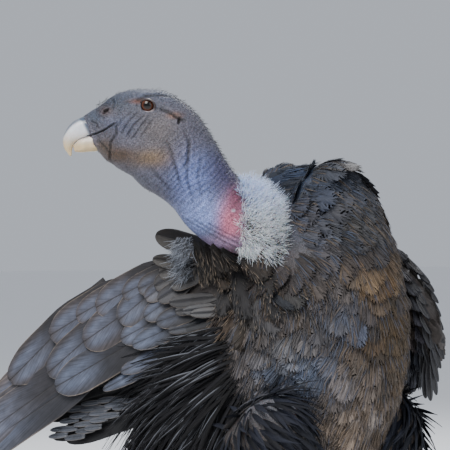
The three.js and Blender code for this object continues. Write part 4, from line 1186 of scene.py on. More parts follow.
def makeWing(side):
    rng = np.random.default_rng(quill["seed"][side])
    wing = wings[side]
    rowsOf = [(coverts, -3.0, 5.0)]
    for flight in (secondaries, primaries):
        share = np.linspace(0, 1, flight["count"])
        mix = lambda key: flight[key][0] + (flight[key][1] - flight[key][0]) * share
        rows = np.column_stack([mix("tipA"), mix("tipB"), mix("length"),
                                share * 0 + flight["width"], mix("slant"), share * 0])
        low, high = (np.linspace(flight["sink"] + inmost, flight["sink"] + outmost, len(rows))
                     for inmost, outmost in ((-7, 0), (-6, 2)))
        rowsOf.append((rows, low, high))
    lean = float(np.sign(dot(np.cross(wing["out"], wing["along"]), wing["up"])))
    layers = []
    for rows, low, high in rowsOf:
        feathers = fromTips(wing, rows, low, high)
        count = len(rows)
        tipA, tipB = np.array(rows, float)[:, :2].T
        feathers.update({
            "out": wing["out"], "thick": quill["thick"],
            "width": feathers["width"] * rng.uniform(0.98, 1.06, count),
            "bend": rng.uniform(-0.01, 0.015, count), "cup": rng.uniform(0.03, 0.06, count),
            "twist": lean * 0.05 + rng.normal(0, 0.015, count)})
        cool = smoothStep(70, -20, tipB) * rng.uniform(0.5, 1, count)
        inner = smoothStep(110, 60, tipA)
        shade = rng.uniform(0.85, 1.2, count) * (1 - 0.68 * inner) * (1 if rows is coverts else 1.7)
        feathers["tint"] = toward(linear(quill["warm"]), quill["cool"], cool) * shade[:, None]
        layer = layFeathers(vaneShape, feathers, rng, 0.008)
        x, y = layer["vane"].T
        across = np.abs(x - 0.5) * 2
        # Painted sheen: a bluish glint along each vane's middle towards its tip, less on the inner feathers
        paintedSheen = np.exp(-((across - 0.25) / 0.25) ** 2) * smoothStep(0.4, 0.75, y) * smoothStep(1.02, 0.85, y)
        paintedSheen *= np.repeat(1 - inner, len(vaneShape[0]))
        tinge(layer, quill["paintedSheen"], 0.72 * paintedSheen)
        tinge(layer, quill["shadow"], 0.85 * smoothStep(0.8, 0.45, y))
        tinge(layer, quill["edge"], 0.5 * layer["rim"] * smoothStep(0.35, 0.6, y))
        layers.append(layer)
    armPiece = makeStump("arm_" + side, armLoft(wing), 20, 28)
    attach(armPiece, "root")
    addCoat("flightFeathers_" + side, layers, flightFeather, ["wing_" + side])


for side in wings:
    makeWing(side)

# Small soft feathers over the arm, from the shoulder to where the coverts begin
armCoat = {"seed": {"left": 51, "right": 52}, "reach": {"left": 150, "right": 44}, "pitch": 7.5,
           "tries": 30000, "length": (26, 38), "width": (15, 22), "thick": 0.5, "tint": "#3b3634"}


def makeArmCoat(side):
    rng = np.random.default_rng(armCoat["seed"][side])
    wing = wings[side]
    keep = lambda points, _: ((dot(points - wing["shoulder"], wing["along"]) < armCoat["reach"][side])
                              & clearOf(torsoLoft, shoulderLoft)(points))
    t, angle, points, normals = scatter(armLoft(wing), rng, armCoat, keep)
    lie = wing["along"] - wing["up"] * 0.35
    flow = unit(lie - normals * dot(normals, lie)[:, None])
    count = len(points)
    rise = rng.uniform(0.1, 0.2, count)
    shade = rng.uniform(0.55, 1.1, (count, 1))
    feathers = rooted(points, normals, flow, rise, **sizesOf(armCoat, rng, count), bend=rise * 0.8, cup=0.06,
                      tint=linear(armCoat["tint"]) * shade, spot=flatSpots(angle, t))
    addCoat("coatArm_" + side, [layFeathers(plainShape, feathers, rng, 0.04)], softFeather)


for side in wings:
    makeArmCoat(side)

# The camera stands level, 40 degrees to the bird's right of its front. Some rows of feathers are placed by
# where it sees them, as sideways, height, and lift towards it.
view = {"distance": 4200, "width": 540, "sideways": -108, "height": 384}
viewFrom = -viewAway * view["distance"] + viewSide * view["sideways"] + upward * view["height"]


def treeOf(*names):
    points, faces = [], []
    for piece in (skin, *(bpy.data.objects[name] for name in names)):
        start = len(points)
        points += [vertex.co.copy() for vertex in piece.data.vertices]
        faces += [[start + i for i in polygon.vertices] for polygon in piece.data.polygons]
    return BVHTree.FromPolygons(points, faces)


bodyTree = treeOf("arm_right", "flightFeathers_right")


def sightTo(sideways, height):
    return unit(viewSide * sideways + upward * height - viewFrom)


# A point that the camera sees, lifted off what lies there. Where it sees past the edge, the depth is that of
# the nearest surface, looked for from the spare point's distance on.
def seenPoint(sideways, height, lift, spare, tree=bodyTree):
    sight = sightTo(sideways, height)
    hit = tree.ray_cast(Vector(toFrame(viewFrom)), Vector(sight))[0]
    if hit is not None:
        return fromFrame(np.array(hit)) - sight * lift
    far = np.linalg.norm(spare - viewFrom)
    for _ in range(3):
        near = tree.find_nearest(Vector(toFrame(viewFrom + sight * far)))[0]
        far = float(dot(fromFrame(np.array(near)) - viewFrom, sight))
    return viewFrom + sight * (far - lift)


# Ruffled feathers over the right shoulder: from and to, then width, colour and cup
ruffled = [
    ((-151, 367, 6), (-130, 313, 20), 9, "#1d1a19", 0.5),
    ((-145, 366, 7), (-124, 316, 22), 9, "#231f1c", 0.5),
    ((-139, 364, 7), (-118, 320, 23), 10, "#1c1918", 0.5),
    ((-132, 361, 7), (-110, 324, 24), 11, "#2a2420", 0.45),
    ((-124, 361, 6), (-97, 332, 24), 24, "#2c2622", 0.3),
    ((-112, 356, 6), (-86, 334, 20), 18, "#201d1c", 0.35),
    ((-90, 349, 6), (-59, 324, 22), 26, "#332c27", 0.22),
    ((-78, 340, 6), (-50, 308, 22), 22, "#2e2a29", 0.22),
    ((-67, 328, 8), (-38, 277, 20), 15, "#2c3038", 0.2),
    ((-72, 323, 7), (-47, 275, 17), 18, "#272628", 0.2),
    ((-121, 332, 10), (-107, 308, 26), 13, "#453b33", 0.35),
    ((-107, 332, 3), (-100, 278, 12), 26, "#2b2a2d", 0.1),
    ((-95, 330, 3), (-78, 275, 14), 32, "#302f32", 0.08),
    ((-83, 304, 3), (-64, 260, 12), 36, "#45413f", 0.1),
    ((-71, 294, 2), (-47, 257, 10), 32, "#4b4a4d", 0.1),
    ((-54, 323, 4), (-13, 290, 9), 34, "#353434", 0.08),
    ((-88, 289, 2), (-107, 239, 8), 26, "#4a3c30", 0.14),
    ((-78, 282, 2), (-86, 232, 8), 26, "#40372f", 0.12),
    ((-104, 294, 2), (-119, 256, 7), 20, "#3a3230", 0.14)]
ruffledShape = softTemplate(33, 0.1, 0.66)
# Barbs stand out from their rims like a comb's teeth, tan at the ends, with down before the wing
combShape = hairTemplate(5, lambda s: (0.7, 1.0, 0.8, 0.5, 0.08)[round(s * 4)])
combBarbs = {"each": 50, "lean": 0.85, "widths": (1.0, 1.7), "thick": 0.5, "start": (0.1, 0.96),
             "shade": (0.9, 2.6), "beyond": 1.12, "longest": 14, "inner": 0.25}
greyDown = {"count": 420, "sideways": (-166, -146), "height": (322, 370), "lift": (2, 12), "length": (9, 22),
            "width": (0.7, 1.3), "thick": 0.6, "tint": "#a7aebb"}
# Long raised feathers behind them: the root in the wing's plane, the tip by the neck, and the width
raised = [((-20, 54, 4), (192, 374, 66), 30), ((8, 52, 4), (196, 344, 72), 20)]
# Broad ones over the dome behind the ruff: from, to, width and colour
domed = [
    ((-24, 446, 3), (28, 442, 7), 30, "#2a303c"), ((-28, 442, 3), (25, 438, 8), 30, "#2f3848"),
    ((-20, 432, 3), (30, 428, 8), 28, "#323a4a"), ((-18, 419, 3), (32, 417, 9), 28, "#353a44"),
    ((-18, 404, 3), (28, 398, 9), 26, "#393b42"), ((-36, 444, 4), (12, 446, 8), 28, "#252c3a"),
    ((-56, 441, 4), (-11, 446, 9), 28, "#2a3240"), ((-54, 436, 4), (-4, 441, 10), 30, "#2e3a50"),
    ((-49, 427, 4), (4, 431, 11), 30, "#2c3444"), ((-44, 417, 4), (8, 422, 12), 28, "#333a46"),
    ((-40, 406, 4), (8, 404, 12), 28, "#363a42"), ((-37, 395, 4), (6, 386, 12), 28, "#3a3c40")]
domeBarbs = {"each": 44, "lean": 0.35, "widths": (1.1, 2.0), "thick": 0.4, "shade": (0.7, 1.7)}
# Dark blades of the folded left wing, seen past the breast's edge: from, to and width
blades = [
    ((97, 352), (121, 332), 7), ((104, 349), (130, 324), 7), ((111, 345), (138, 314), 7.5),
    ((117, 339), (143, 304), 7.5), ((123, 329), (148, 290), 8), ((129, 316), (151, 274), 8),
    ((132, 304), (154, 258), 8), ((135, 289), (155, 242), 8.5), ((136, 272), (155, 223), 9),
    ((136, 261), (151, 212), 9), ((138, 245), (148, 196), 9), ((140, 230), (146, 180), 10),
    ((136, 228), (139, 173), 11), ((133, 229), (133, 176), 12), ((109, 326), (127, 304), 8),
    ((115, 315), (133, 289), 8.5), ((120, 301), (137, 272), 9), ((124, 283), (139, 253), 9),
    ((128, 267), (142, 234), 10), ((128, 252), (139, 215), 10), ((127, 238), (133, 200), 11)]
# Brown and slate coverts inside them
browns = [
    ((96, 356), (110, 342), 15, "#242328"), ((101, 348), (118, 333), 15, "#232227"),
    ((105, 341), (124, 324), 15, "#26252a"), ((101, 333), (114, 316), 14, "#2f2c30"),
    ((95, 320), (107, 299), 14, "#3a3433"), ((108, 316), (121, 299), 13, "#2b2b31"),
    ((104, 303), (115, 284), 14, "#3f3835"), ((98, 295), (107, 272), 14, "#3c3533"),
    ((115, 298), (126, 280), 13, "#2d2d33"), ((109, 287), (119, 268), 14, "#453b36"),
    ((102, 276), (110, 253), 14, "#443a35"), ((118, 281), (128, 262), 13, "#33323a"),
    ((112, 268), (121, 248), 14, "#4a3e37"), ((107, 257), (113, 234), 14, "#423834"),
    ((121, 262), (130, 242), 13, "#383640"), ((115, 252), (122, 232), 14, "#40393a"),
    ((123, 247), (131, 227), 12, "#2c2d36"), ((111, 241), (116, 217), 15, "#40383a"),
    ((121, 238), (126, 208), 15, "#262a36"), ((114, 236), (116, 203), 17, "#2a2d38"),
    ((126, 222), (127, 188), 15, "#1e2028"), ((118, 218), (118, 185), 18, "#2a2d3a"),
    ((109, 224), (109, 193), 15, "#24262e")]
brownBarbs = {"each": 12, "lean": 0.5, "widths": (1.4, 2.4), "thick": 0.4}
seeds = {"ruffled": 61, "dome": 63, "blades": 91, "underwing": 95}


def rowFeathers(rows, rng, spare):
    start, stop = [], []
    for here, there, *_ in rows:
        start.append(seenPoint(*here, spare))
        stop.append(seenPoint(*there, start[-1]))
    count = len(rows)
    return between(np.array(start), np.array(stop), out=-viewAway + rng.normal(0, 0.12, (count, 3)),
                   width=np.array([row[2] for row in rows], float), thick=0.9,
                   cup=np.array([row[4] if len(row) > 4 else 0.06 for row in rows]),
                   tint=np.array([linear(row[3]) for row in rows]) * rng.uniform(0.8, 1.15, (count, 1)),
                   spot=rowSpots(count, 0.3))


def makeRuffled():
    rng = np.random.default_rng(seeds["ruffled"])
    wing = wings["right"]
    feathers = rowFeathers(ruffled, rng, wing["shoulder"])
    count = len(ruffled)
    feathers.update({"bend": rng.uniform(0.0, 0.12, count), "twist": rng.normal(0, 0.15, count),
                     "sweep": rng.normal(0, 0.08, count), "tint": feathers["tint"] * 0.58})
    layers = [layFeathers(ruffledShape, feathers, rng, 0.04)]
    fine = barbsOver(feathers, rng, **combBarbs)
    comb = layFeathers(combShape, fine, rng)
    tan = np.repeat(rng.random(len(fine["root"])) ** 1.5, len(combShape[0]))
    tan = tan * smoothStep(0.35, 1.0, comb["vane"][:, 1])
    tinge(comb, "#b3a18c", 0.8 * tan)
    layers.append(comb)
    count = greyDown["count"]
    start = np.array([seenPoint(rng.uniform(*greyDown["sideways"]), rng.uniform(*greyDown["height"]),
                                rng.uniform(*greyDown["lift"]), wing["shoulder"]) for _ in range(count)])
    down = viewSide * -0.75 - upward * 0.75 - viewAway * 0.3
    feathers = {"root": start, "dir": down + rng.normal(0, 0.28, (count, 3)), "out": -viewAway,
                **sizesOf(greyDown, rng, count), "bend": rng.uniform(0, 0.4, count),
                "sweep": rng.normal(0, 0.25, count),
                "tint": linear(greyDown["tint"]) * rng.uniform(0.15, 1.15, (count, 1)),
                "spot": np.column_stack([rng.uniform(0.1, 0.9, count), np.full(count, 0.6)])}
    layers.append(layFeathers(hairTemplate(5), feathers, rng))
    addCoat("ruffledFeathers", layers, softFeather)
    # The raised feathers' near black tint is their dark brown and, on their undersides, painted shade
    count = len(raised)
    feathers = between(np.array([wingPoint(wing, *row[0]) for row in raised]),
                       np.array([lookPoint(*row[1]) for row in raised]), out=upward * 0.5 - viewAway,
                       width=np.array([row[2] for row in raised], float), cup=0.06, bend=0.03, thick=0.9,
                       tint=np.tile(linear("#1d1713"), (count, 1)), spot=rowSpots(count, 0.5, 0.2, 0.8))
    addCoat("raisedFeathers", [layFeathers(vaneShape, feathers, rng)], flightFeather)


makeRuffled()


def makeDomed():
    rng = np.random.default_rng(seeds["dome"])
    feathers = rowFeathers(domed, rng, wings["right"]["shoulder"])
    # They lie flatter than what they were seen on, and dip a little, so that no tip stands up
    feathers["dir"] -= viewAway * 0.6 * dot(feathers["dir"], viewAway)[:, None] + upward * 5
    feathers["length"] = np.linalg.norm(feathers["dir"], axis=1)
    feathers.update({"bend": 0.14, "sweep": rng.normal(0, 0.08, len(domed)), "thick": 0.5})
    fine = barbsOver(feathers, rng, **domeBarbs)
    addCoat("domeFeathers", [layFeathers(softShape, feathers, rng, 0.04), layFeathers(barbShape, fine, rng)],
            softFeather)


makeDomed()


# Where a sight line meets a wing's plane, lifted off its upper face
def onWing(wing, sideways, height, lift):
    sight = sightTo(sideways, height)
    plane = wing["shoulder"] + wing["out"] * lift
    return viewFrom + sight * (dot(plane - viewFrom, wing["out"]) / dot(sight, wing["out"]))


def makeBlades():
    rng = np.random.default_rng(seeds["blades"])
    tree = treeOf("arm_left", "flightFeathers_left", "coatArm_left")
    spare = wingPoint(wings["left"], 150, 60, 10)
    sets = []
    for rows, low, high in ((blades, 1, 6), (browns, 5, 9)):
        start = np.array([seenPoint(*row[0], low, spare, tree) for row in rows])
        stop = np.array([seenPoint(*row[1], high, spare, tree) for row in rows])
        # No tip lies much deeper than its root
        stop += unit(viewFrom - stop) * np.clip(dot(stop - start, viewAway) - 14, 0, None)[:, None]
        count = len(rows)
        tint = np.array([linear(row[3] if rows is browns else "#17171b") for row in rows])
        out = viewSide * 0.55 + upward * 0.3 - viewAway * 0.8
        sets.append(between(start, stop, out=out + rng.normal(0, 0.05, (count, 3)),
                            width=np.array([row[2] for row in rows], float), cup=0.1, bend=0.0, thick=0.9,
                            tint=tint * rng.uniform(0.85, 1.2, (count, 1)), spot=rowSpots(count, 0.5)))
    dark, brown = sets
    layer = layFeathers(vaneShape, dark, rng)
    tinge(layer, "#5d6474", 0.5 * (layer["rim"] * smoothStep(0.2, 0.5, layer["vane"][:, 1])))
    addCoat("bladeFeathers", [layer], flightFeather)
    fine = barbsOver(brown, rng, **brownBarbs)
    addCoat("bladeCoverts", [layFeathers(softShape, brown, rng, 0.03), layFeathers(barbShape, fine, rng)],
            softFeather)


makeBlades()

# Under the right wing's lower edge: small rounded feathers, then broad black ones behind them, which are
# black plumage and at once painted shade under the wing. Their tips are given as sideways and height, and
# drop is how far the root lies over the tip's level, as a share.
underwing = [
    {"lift": -14, "length": (21, 27), "width": (7, 9), "drop": 0.12, "tint": "#474b54", "edge": "#8a7f72",
     "tips": [
        (-281, 169), (-283, 162), (-262, 173), (-246, 174), (-295, 154), (-307, 148), (-266, 163),
        (-281, 152), (-290, 144), (-318, 138), (-307, 138), (-288, 136), (-271, 149), (-232, 172),
        (-253, 167), (-244, 164), (-299, 162), (-272, 157), (-260, 154), (-301, 128), (-320, 130),
        (-277, 140)]},
    {"lift": -24, "length": (80, 110), "width": (24, 30), "drop": 0.32, "tint": "#111114", "edge": None,
     "tips": [
        (-244, 172), (-256, 164), (-268, 158), (-280, 151), (-292, 144), (-304, 137), (-316, 130),
        (-253, 150), (-268, 143), (-282, 134), (-299, 126), (-234, 157), (-250, 196), (-262, 190),
        (-274, 183), (-286, 176), (-298, 168), (-310, 160), (-322, 152), (-238, 186)]}]


def ovalVane(s):
    return math.sqrt(max(0.0, 1 - ((s - 0.55) / (0.455 if s > 0.55 else 0.8)) ** 2))


ovalShape = vaneTemplate(9, ovalVane)


def makeUnderwing():
    rng = np.random.default_rng(seeds["underwing"])
    wing = wings["right"]
    layers = []
    for row in underwing:
        lift, drop = row["lift"], row["drop"]
        count = len(row["tips"])
        length = rng.uniform(*row["length"], count)
        stop = np.array([onWing(wing, *tip, lift - n % 4) for n, tip in enumerate(row["tips"])])
        start = np.array([onWing(wing, sideways + far, height + drop * far, lift - 5)
                          for (sideways, height), far in zip(row["tips"], length)])
        feathers = between(start, stop, out=wing["out"], width=rng.uniform(*row["width"], count),
                           cup=0.06, bend=0.02, thick=0.8,
                           tint=linear(row["tint"]) * rng.uniform(0.7, 1.25, (count, 1)),
                           spot=rowSpots(count, 0.2 - 0.01 * lift))
        layer = layFeathers(ovalShape, feathers, rng)
        if row["edge"]:
            tinge(layer, row["edge"], 0.35 * layer["rim"])
        layers.append(layer)
    addCoat("underwing_right", layers, flightFeather)


makeUnderwing()

# Long stringy plumes of the flanks, that fan out from under each wing. Some have a pale outer edge.
plumes = {"seed": 71, "pitch": 4.3, "tries": 110000, "length": (66, 128), "width": (2.6, 5.2), "thick": 0.8,
          "tint": "#0d0d11", "pale": "#8d929c", "paleShare": 0.45, "top": 268, "from": 60}
plumeShape = plumeTemplate(8, taperVane)


# The band of each flank that carries plumes, under a ceiling that drops to both ends
def onFlank(points, sign):
    x, y, z = points.T
    ceiling = np.where(y > 35, plumes["top"] - 0.35 * (y - 35), plumes["top"] - 2.2 * (35 - y))
    return (x * sign > 50) & (y > -20) & (y < 170) & (z > plumes["from"]) & (z < ceiling)


def makeFlankPlumes():
    rng = np.random.default_rng(plumes["seed"])
    for name, sign in (("flankPlumes_left", 1), ("flankPlumes_right", -1)):
        keep = lambda points, _: onFlank(points, sign) & clearOf(*thighLofts.values())(points)
        t, angle, points, normals = scatter(torsoLoft, rng, plumes, keep, -4)
        count = len(points)
        low = smoothStep(240, 130, points[:, 2])
        drop = np.radians(-2 + 46 * low + 38 * smoothStep(50, -10, points[:, 1]) + rng.normal(0, 7, count))
        ahead = np.array([0.766 * sign, 0.643, 0.0])
        lie = ahead * np.cos(drop)[:, None] - upward * np.sin(drop)[:, None]
        flow = unit(lie - normals * dot(normals, lie)[:, None] * 0.8)
        length = rng.uniform(*plumes["length"], count)
        feathers = {"root": points, "dir": unit(flow + normals * rng.uniform(0.12, 0.3, (count, 1))),
                    "out": normals, "length": length, "width": rng.uniform(*plumes["width"], count),
                    "thick": plumes["thick"], "bend": rng.uniform(0.08, 0.26, count), "cup": 0.08,
                    "sweep": -sign * rng.uniform(0.02, 0.14, count) * (1 + 1.5 * low),
                    "tint": linear(plumes["tint"]) * rng.uniform(0.4, 1.8, (count, 1)),
                    "spot": flatSpots(angle, t)}
        layer = layFeathers(plumeShape, feathers, rng)
        x, y = layer["vane"].T
        outer = (x < 0.5) if sign < 0 else (x > 0.5)
        chosen = np.repeat(rng.random(count) < plumes["paleShare"], len(plumeShape[0]))
        tinge(layer, plumes["pale"], 0.6 * (outer * layer["rim"] * smoothStep(0.1, 0.3, y)) * chosen)
        addCoat(name, [layer], blackFeather)


makeFlankPlumes()

# Tail fan: where it starts, how it slopes and spreads in degrees, and its feathers
tail = {"seed": 41, "root": (322, 84), "drop": 11.5, "spread": 3.2, "length": 345, "width": 56, "count": 12,
        "thick": 1.0, "tint": "#332f2e"}


def makeTail():
    rng = np.random.default_rng(tail["seed"])
    drop = math.radians(tail["drop"])
    count = tail["count"]
    k = np.arange(count) - (count - 1) / 2
    fan = np.radians(tail["spread"] * k)
    direction = np.column_stack([np.sin(fan) * math.cos(drop), np.cos(fan) * math.cos(drop),
                                 np.full(count, -math.sin(drop))])
    back, height = tail["root"]
    height = height + 9 - 2.9 * np.abs(k) - np.where(k > 0, 1.45, 0)
    feathers = {"root": np.column_stack([4.5 * k, np.full(count, back), height]), "dir": direction,
                "out": upward, "length": tail["length"] - 0.5 * k * k,
                "width": tail["width"] - 0.9 * np.abs(k), "thick": tail["thick"], "bend": 0.0, "cup": 0.03,
                "tint": linear(tail["tint"]) * rng.uniform(0.85, 1.15, (count, 1)),
                "spot": np.column_stack([0.5 + 0.03 * k, np.full(count, 0.5)])}
    basePiece = makeStump("tailRoot", tailLoft, 12, 24, -2)
    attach(basePiece, "root")
    addCoat("tailFan", [layFeathers(vaneShape, feathers, rng)], flightFeather, ["tail"])


makeTail()
print("wings and tail made")

# Bill: two lofts, flattened along the mouth's line
bill = {"ivory": "#d6dae2", "cream": "#c4ad84", "slate": "#4a5668", "gapOver": 0.3, "gapUnder": 0.5}


def billPiece(name, stations, upper, replaces):
    piece = loftPiece(name, lookLoft(stations), 60, 56)[0]
    points = meshPoints(piece.data)
    reach, height = dot(points, lookAlong), points[:, 2]
    line = np.array(mouthLine[1:])
    parting = np.interp(reach, line[:, 0], line[:, 1])
    if upper:
        parting = np.where(reach > line[-1, 0], -1e9, parting)
        points[:, 2] = np.maximum(height, parting + bill["gapOver"])
    else:
        points[:, 2] = np.minimum(height, parting - bill["gapUnder"])
    settle(piece, points)
    points = fromFrame(meshPoints(piece.data))
    reach, height = dot(points, lookAlong), points[:, 2]
    tint = toward(linear(bill["ivory"]), bill["cream"], smoothStep(500, 474, height))
    faceUp = dot(meshPoints(piece.data, "normal"), unit(lookAlong * 0.55 + upward * 0.85))
    ridge = smoothStep(0.5, 0.8, faceUp) * smoothStep(484, 492, height)
    base = smoothStep(271, 266, reach - 0.5 * (height - 488)) if upper else smoothStep(262, 258, reach)
    paint(piece.data, toward(tint, bill["slate"], np.clip(0.85 * ridge * upper + base, 0, 1)))
    piece.data.materials.append(billHorn)
    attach(piece, "root")
    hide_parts(replaces)


billPiece("upperBill", [
    (250, 506, 0, 12, 16, 12), (256, 505, 0, 13, 16, 12.4), (272, 502, 0, 12.5, 16, 12),
    (284, 497, 0, 11.5, 15, 10), (293, 487, 0, 8.5, 8.5, 7.5), (295, 477.5, 0, 5.5, 5.5, 4.5),
    (292, 466, 0, 1.2, 1.2, 1)], True, "bill_upper")
billPiece("lowerBill", [
    (250, 481, 0, 14, 8, 10.5), (268, 479, 0, 14, 7.6, 10), (281, 475.6, 0, 12, 5.2, 7.6),
    (288, 473.4, 0, 7, 2.4, 3.6)], False, "bill_lower")

# Eyes, from the pupil outwards
eyeTints = {"pupil": "#050505", "inner": "#1c0d09", "outer": "#512a18", "rim": "#140c0a"}


def makeEye(name, sign):
    bpy.ops.object.select_all(action="DESELECT")
    middle = toFrame(lookPoint(eye["reach"], eye["height"], sign * eye["across"]))
    bpy.ops.mesh.primitive_uv_sphere_add(segments=48, ring_count=32, radius=eye["radius"] * 0.001)
    piece = bpy.context.object
    piece.name = name + "Ball"
    points = meshPoints(piece.data) + middle
    setPoints(piece.data, points)
    bpy.ops.object.shade_smooth()
    local = fromFrame(points)
    far = np.hypot(dot(local, lookAlong) - eye["reach"], local[:, 2] - eye["height"])
    tint = toward(linear(eyeTints["inner"]), eyeTints["outer"], smoothStep(4, 6.2, far))
    tint = np.where((far < eye["pupil"])[:, None], linear(eyeTints["pupil"]), tint)
    paint(piece.data, np.where((far > eye["iris"])[:, None], linear(eyeTints["rim"]), tint))
    piece.data.materials.append(eyeBall)
    piece.data.uv_layers.remove(piece.data.uv_layers[0])
    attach(piece, "root")
    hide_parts(name)


makeEye("eye_left", -1)
makeEye("eye_right", 1)

# Lids: a rolled rim around each eye, thicker over it, that follows the cheek's curve
lids = {"major": 8.1, "minor": 1.2, "stretch": 1.12, "out": 7.0, "dark": "#302626", "pale": "#7c767c"}


def makeLids(name, sign):
    bpy.ops.object.select_all(action="DESELECT")
    bpy.ops.mesh.primitive_torus_add(major_segments=72, minor_segments=16, major_radius=lids["major"],
                                     minor_radius=lids["minor"])
    piece = bpy.context.object
    piece.name = name
    points = meshPoints(piece.data)
    around = np.arctan2(points[:, 1], points[:, 0])
    upper = np.clip(np.sin(around), 0, 1)
    x = points[:, 0] * lids["stretch"] * (1 + 0.015 * np.sin(around * 9))
    y = points[:, 1] * (1 - 0.10 * upper) - 0.5 * upper
    out = points[:, 2] * (1.25 + 0.5 * upper) + lids["out"] - 0.028 * (x * x + y * y) + 0.9 * upper
    middle = lookPoint(eye["reach"], eye["height"], sign * eye["across"])
    tilted = lookAlong * (x * 0.97)[:, None] + upward * (y + 0.10 * x)[:, None]
    points = middle + tilted + lookAcross * (sign * out)[:, None]
    points -= lookAcross * (sign * 0.32 * x)[:, None]
    piece.data.uv_layers.remove(piece.data.uv_layers[0])
    settle(piece, points)
    height = fromFrame(meshPoints(piece.data))[:, 2]
    lower = smoothStep(eye["height"] - 3, eye["height"] - 8, height)
    paint(piece.data, toward(linear(lids["dark"]), lids["pale"], lower))
    piece.data.materials.append(bareSkin)
    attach(piece, "root")


makeLids("lids_left", -1)
makeLids("lids_right", 1)

# Short black bristles on the crown, nape and neck
bristles = {"seed": 81, "pitch": 2.6, "tries": 50000, "length": (2.2, 5.5), "width": 0.42, "thick": 0.4,
            "tint": "#141215"}


def makeBristles():
    rng = np.random.default_rng(bristles["seed"])
    highUp = lambda angle: smoothStep(-0.5, 0.9, np.cos(angle))

    # Thickest on top, and none around the eyes or on the bill's root
    def keep(points, angle):
        reach, height = dot(points, lookAlong), points[:, 2]
        clear = (np.hypot(reach - eye["reach"], height - eye["height"]) > 13) & (reach < 262)
        return clear & (rng.random(len(points)) < 0.15 + 0.85 * highUp(angle))
    t, angle, points, normals = scatter(throatLoft, rng, bristles, keep, 0.0, (0.24, 0.9))
    count = len(points)
    direction = -lookAlong * 0.9 - upward * 0.4 + normals * rng.uniform(0.35, 1.3, (count, 1))
    direction += rng.normal(0, 0.3, (count, 3))
    feathers = {"root": points - normals * 0.6, "dir": direction, "out": normals,
                "tint": linear(bristles["tint"]) * rng.uniform(0.5, 1.6, (count, 1)),
                "length": rng.uniform(*bristles["length"], count) * (0.5 + 0.6 * highUp(angle)),
                "width": bristles["width"], "thick": bristles["thick"], "bend": rng.uniform(0, 0.4, count),
                "spot": flatSpots(angle, t)}
    bristleShape = plumeTemplate(3, lambda s: 1 - 0.9 * s)
    addCoat("bristles", [layFeathers(bristleShape, feathers, rng)], blackFeather)


makeBristles()
print("head finished")

# Legs: shanks, toes with scutes, and claws. Toes as degrees from straight ahead, length, half width and
# how far inwards they start. The shank's line has back, rise and half width, the toe's the share of its
# length and of its half width, the claw's ahead, height and half width, and the palm's back, height and
# half width.
leg = {"y": 42, "z": 13, "forward": 122, "skin": "#55524f", "claw": "#2b2723"}
shankLine = [(9, 0, 8), (0, 1, 15), (-22, -1, 12.5), (-70, -1.5, 11.5), (8 - leg["forward"], -1, 13),
             (-leg["forward"], -2, 10)]
toes = {"middle": (-2, 108, 9.5, 0), "inner": (-34, 70, 9, 0), "outer": (27, 82, 9, 0),
        "hind": (196, 40, 8, 12)}
toeLine = [(0, 1.05), (0.3, 1), (0.42, 0.85), (0.68, 0.92), (0.8, 0.74), (0.95, 0.72), (1, 0.5)]
clawLine = [(-5, 6.4, 4.6), (4, 8.6, 5), (12, 9.6, 4.2), (20, 7.6, 2.9), (25, 4.2, 1.7), (27, 2, 0.6)]
palmLine = [(18, 8, 9), (6, 8, 14), (-8, 8, 13), (-17, 7, 8)]


def roundLoft(stations, side):
    return Loft([(*at, half, half, half) for at, half in stations], side)


# A smooth limb, flattened where it meets the floor
def limb(name, loft, rings, around, material, colour, replaces, ridges=0, depth=0.0):
    piece, t, angle = loftPiece(name, loft, rings, around)
    points = meshPoints(piece.data)
    if ridges:
        wave = np.abs(np.sin(t * ridges * math.pi)) ** 0.6 - 0.7
        upper = np.clip(np.cos(angle) + 0.3, 0, 1)
        points += loft.normal(np.clip(t, 0.02, 0.98), angle) * (depth * wave * upper)[:, None]
    points[:, 2] = np.maximum(points[:, 2], 0.05)
    settle(piece, points)
    paint(piece.data, np.tile(linear(colour), (len(piece.data.vertices), 1)))
    piece.data.materials.append(material)
    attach(piece, "root")
    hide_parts(*replaces)
    return piece


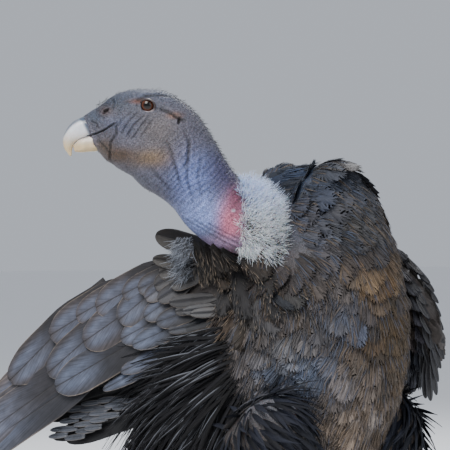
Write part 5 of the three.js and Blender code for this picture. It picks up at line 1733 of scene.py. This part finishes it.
def makeLeg(side):
    x, y = legs[side]
    outward = math.copysign(1, x)
    stations = [((x, y + leg["y"] + back, leg["z"] + rise), half) for back, rise, half in shankLine]
    limb("shank_" + side, roundLoft(stations, -leftward), 90, 28, legSkin, leg["skin"],
         ["tarsus_" + side], 17, 0.9)
    footY = y + leg["y"] - leg["forward"] - 8
    made = []
    for name, (degrees, length, half, inwards) in toes.items():
        radians = math.radians(degrees)
        direction = np.array([outward * math.sin(radians), -math.cos(radians), 0])
        start = np.array([x - outward * inwards, footY, 9.0])
        across = np.cross(direction, upward)
        stations = []
        for share, size in toeLine:
            at = start + direction * share * length
            stations.append(((at[0], at[1], half * size * 0.86), half * size))
        toe = roundLoft(stations, across)
        made.append(limb("toe", toe, 64, 22, legSkin, leg["skin"], [], 13, 0.8))
        scale = half / 9
        stations = []
        for ahead, height, thick in clawLine:
            at = start + direction * (length + ahead * scale)
            stations.append(((at[0], at[1], height), thick * scale))
        limb("claw_" + side + "_" + name + "_horn", roundLoft(stations, across), 28, 18, clawHorn,
             leg["claw"], ["claw_" + side + "_" + name])
    palm = roundLoft([((x, footY + back, height), half) for back, height, half in palmLine], -leftward)
    foot = limb("foot_" + side + "_skin", palm, 24, 24, legSkin, leg["skin"], ["foot_" + side])
    unite(foot, made)
    turnOutward(foot)


for side in legs:
    makeLeg(side)
print("legs made")

# Camera, floor and light
aim = toFrame(viewSide * view["sideways"] + upward * view["height"])
back = toFrame(viewFrom)
bpy.ops.object.camera_add(location=back)
camera = bpy.context.object
camera.rotation_euler = Vector(aim - back).to_track_quat("-Z", "Y").to_euler()
camera.data.sensor_width = 36
camera.data.lens = camera.data.sensor_width * view["distance"] / view["width"]
camera.data.clip_end = 60
bpy.context.scene.camera = camera

bpy.ops.mesh.primitive_plane_add(size=40, location=(0, 0, -0.0005))
floor = bpy.context.object
floor.name = "floor"
paleFloor = Look("paleFloor", {"Base Color": (0.93, 0.935, 0.945), "Roughness": 0.9})
floor.data.materials.append(paleFloor.material)

world = bpy.data.worlds.new("studio")
world.use_nodes = True
sky = world.node_tree.nodes["Background"]
sky.inputs["Color"].default_value = (0.78, 0.83, 0.92, 1)
sky.inputs["Strength"].default_value = 0.62
bpy.context.scene.world = world


# Soft lights, all turned to the bird's breast
def softLight(name, sideways, away, height, size, power, colour):
    place = toFrame(viewSide * sideways + viewAway * away + upward * height)
    bpy.ops.object.light_add(type="AREA", location=place)
    light = bpy.context.object
    light.name = name
    light.data.size = size
    light.data.energy = power
    light.data.color = colour
    aimed = toFrame(upward * 330) - place
    light.rotation_euler = Vector(aimed).to_track_quat("-Z", "Y").to_euler()


softLight("keyLight", -900, -1500, 2200, 1.4, 78, (1.0, 0.97, 0.93))
softLight("fillLight", 1600, -1200, 1300, 1.8, 18, (0.9, 0.95, 1.0))
softLight("rimLight", 300, 1700, 2000, 1.2, 30, (0.95, 0.97, 1.0))
print("stage set")
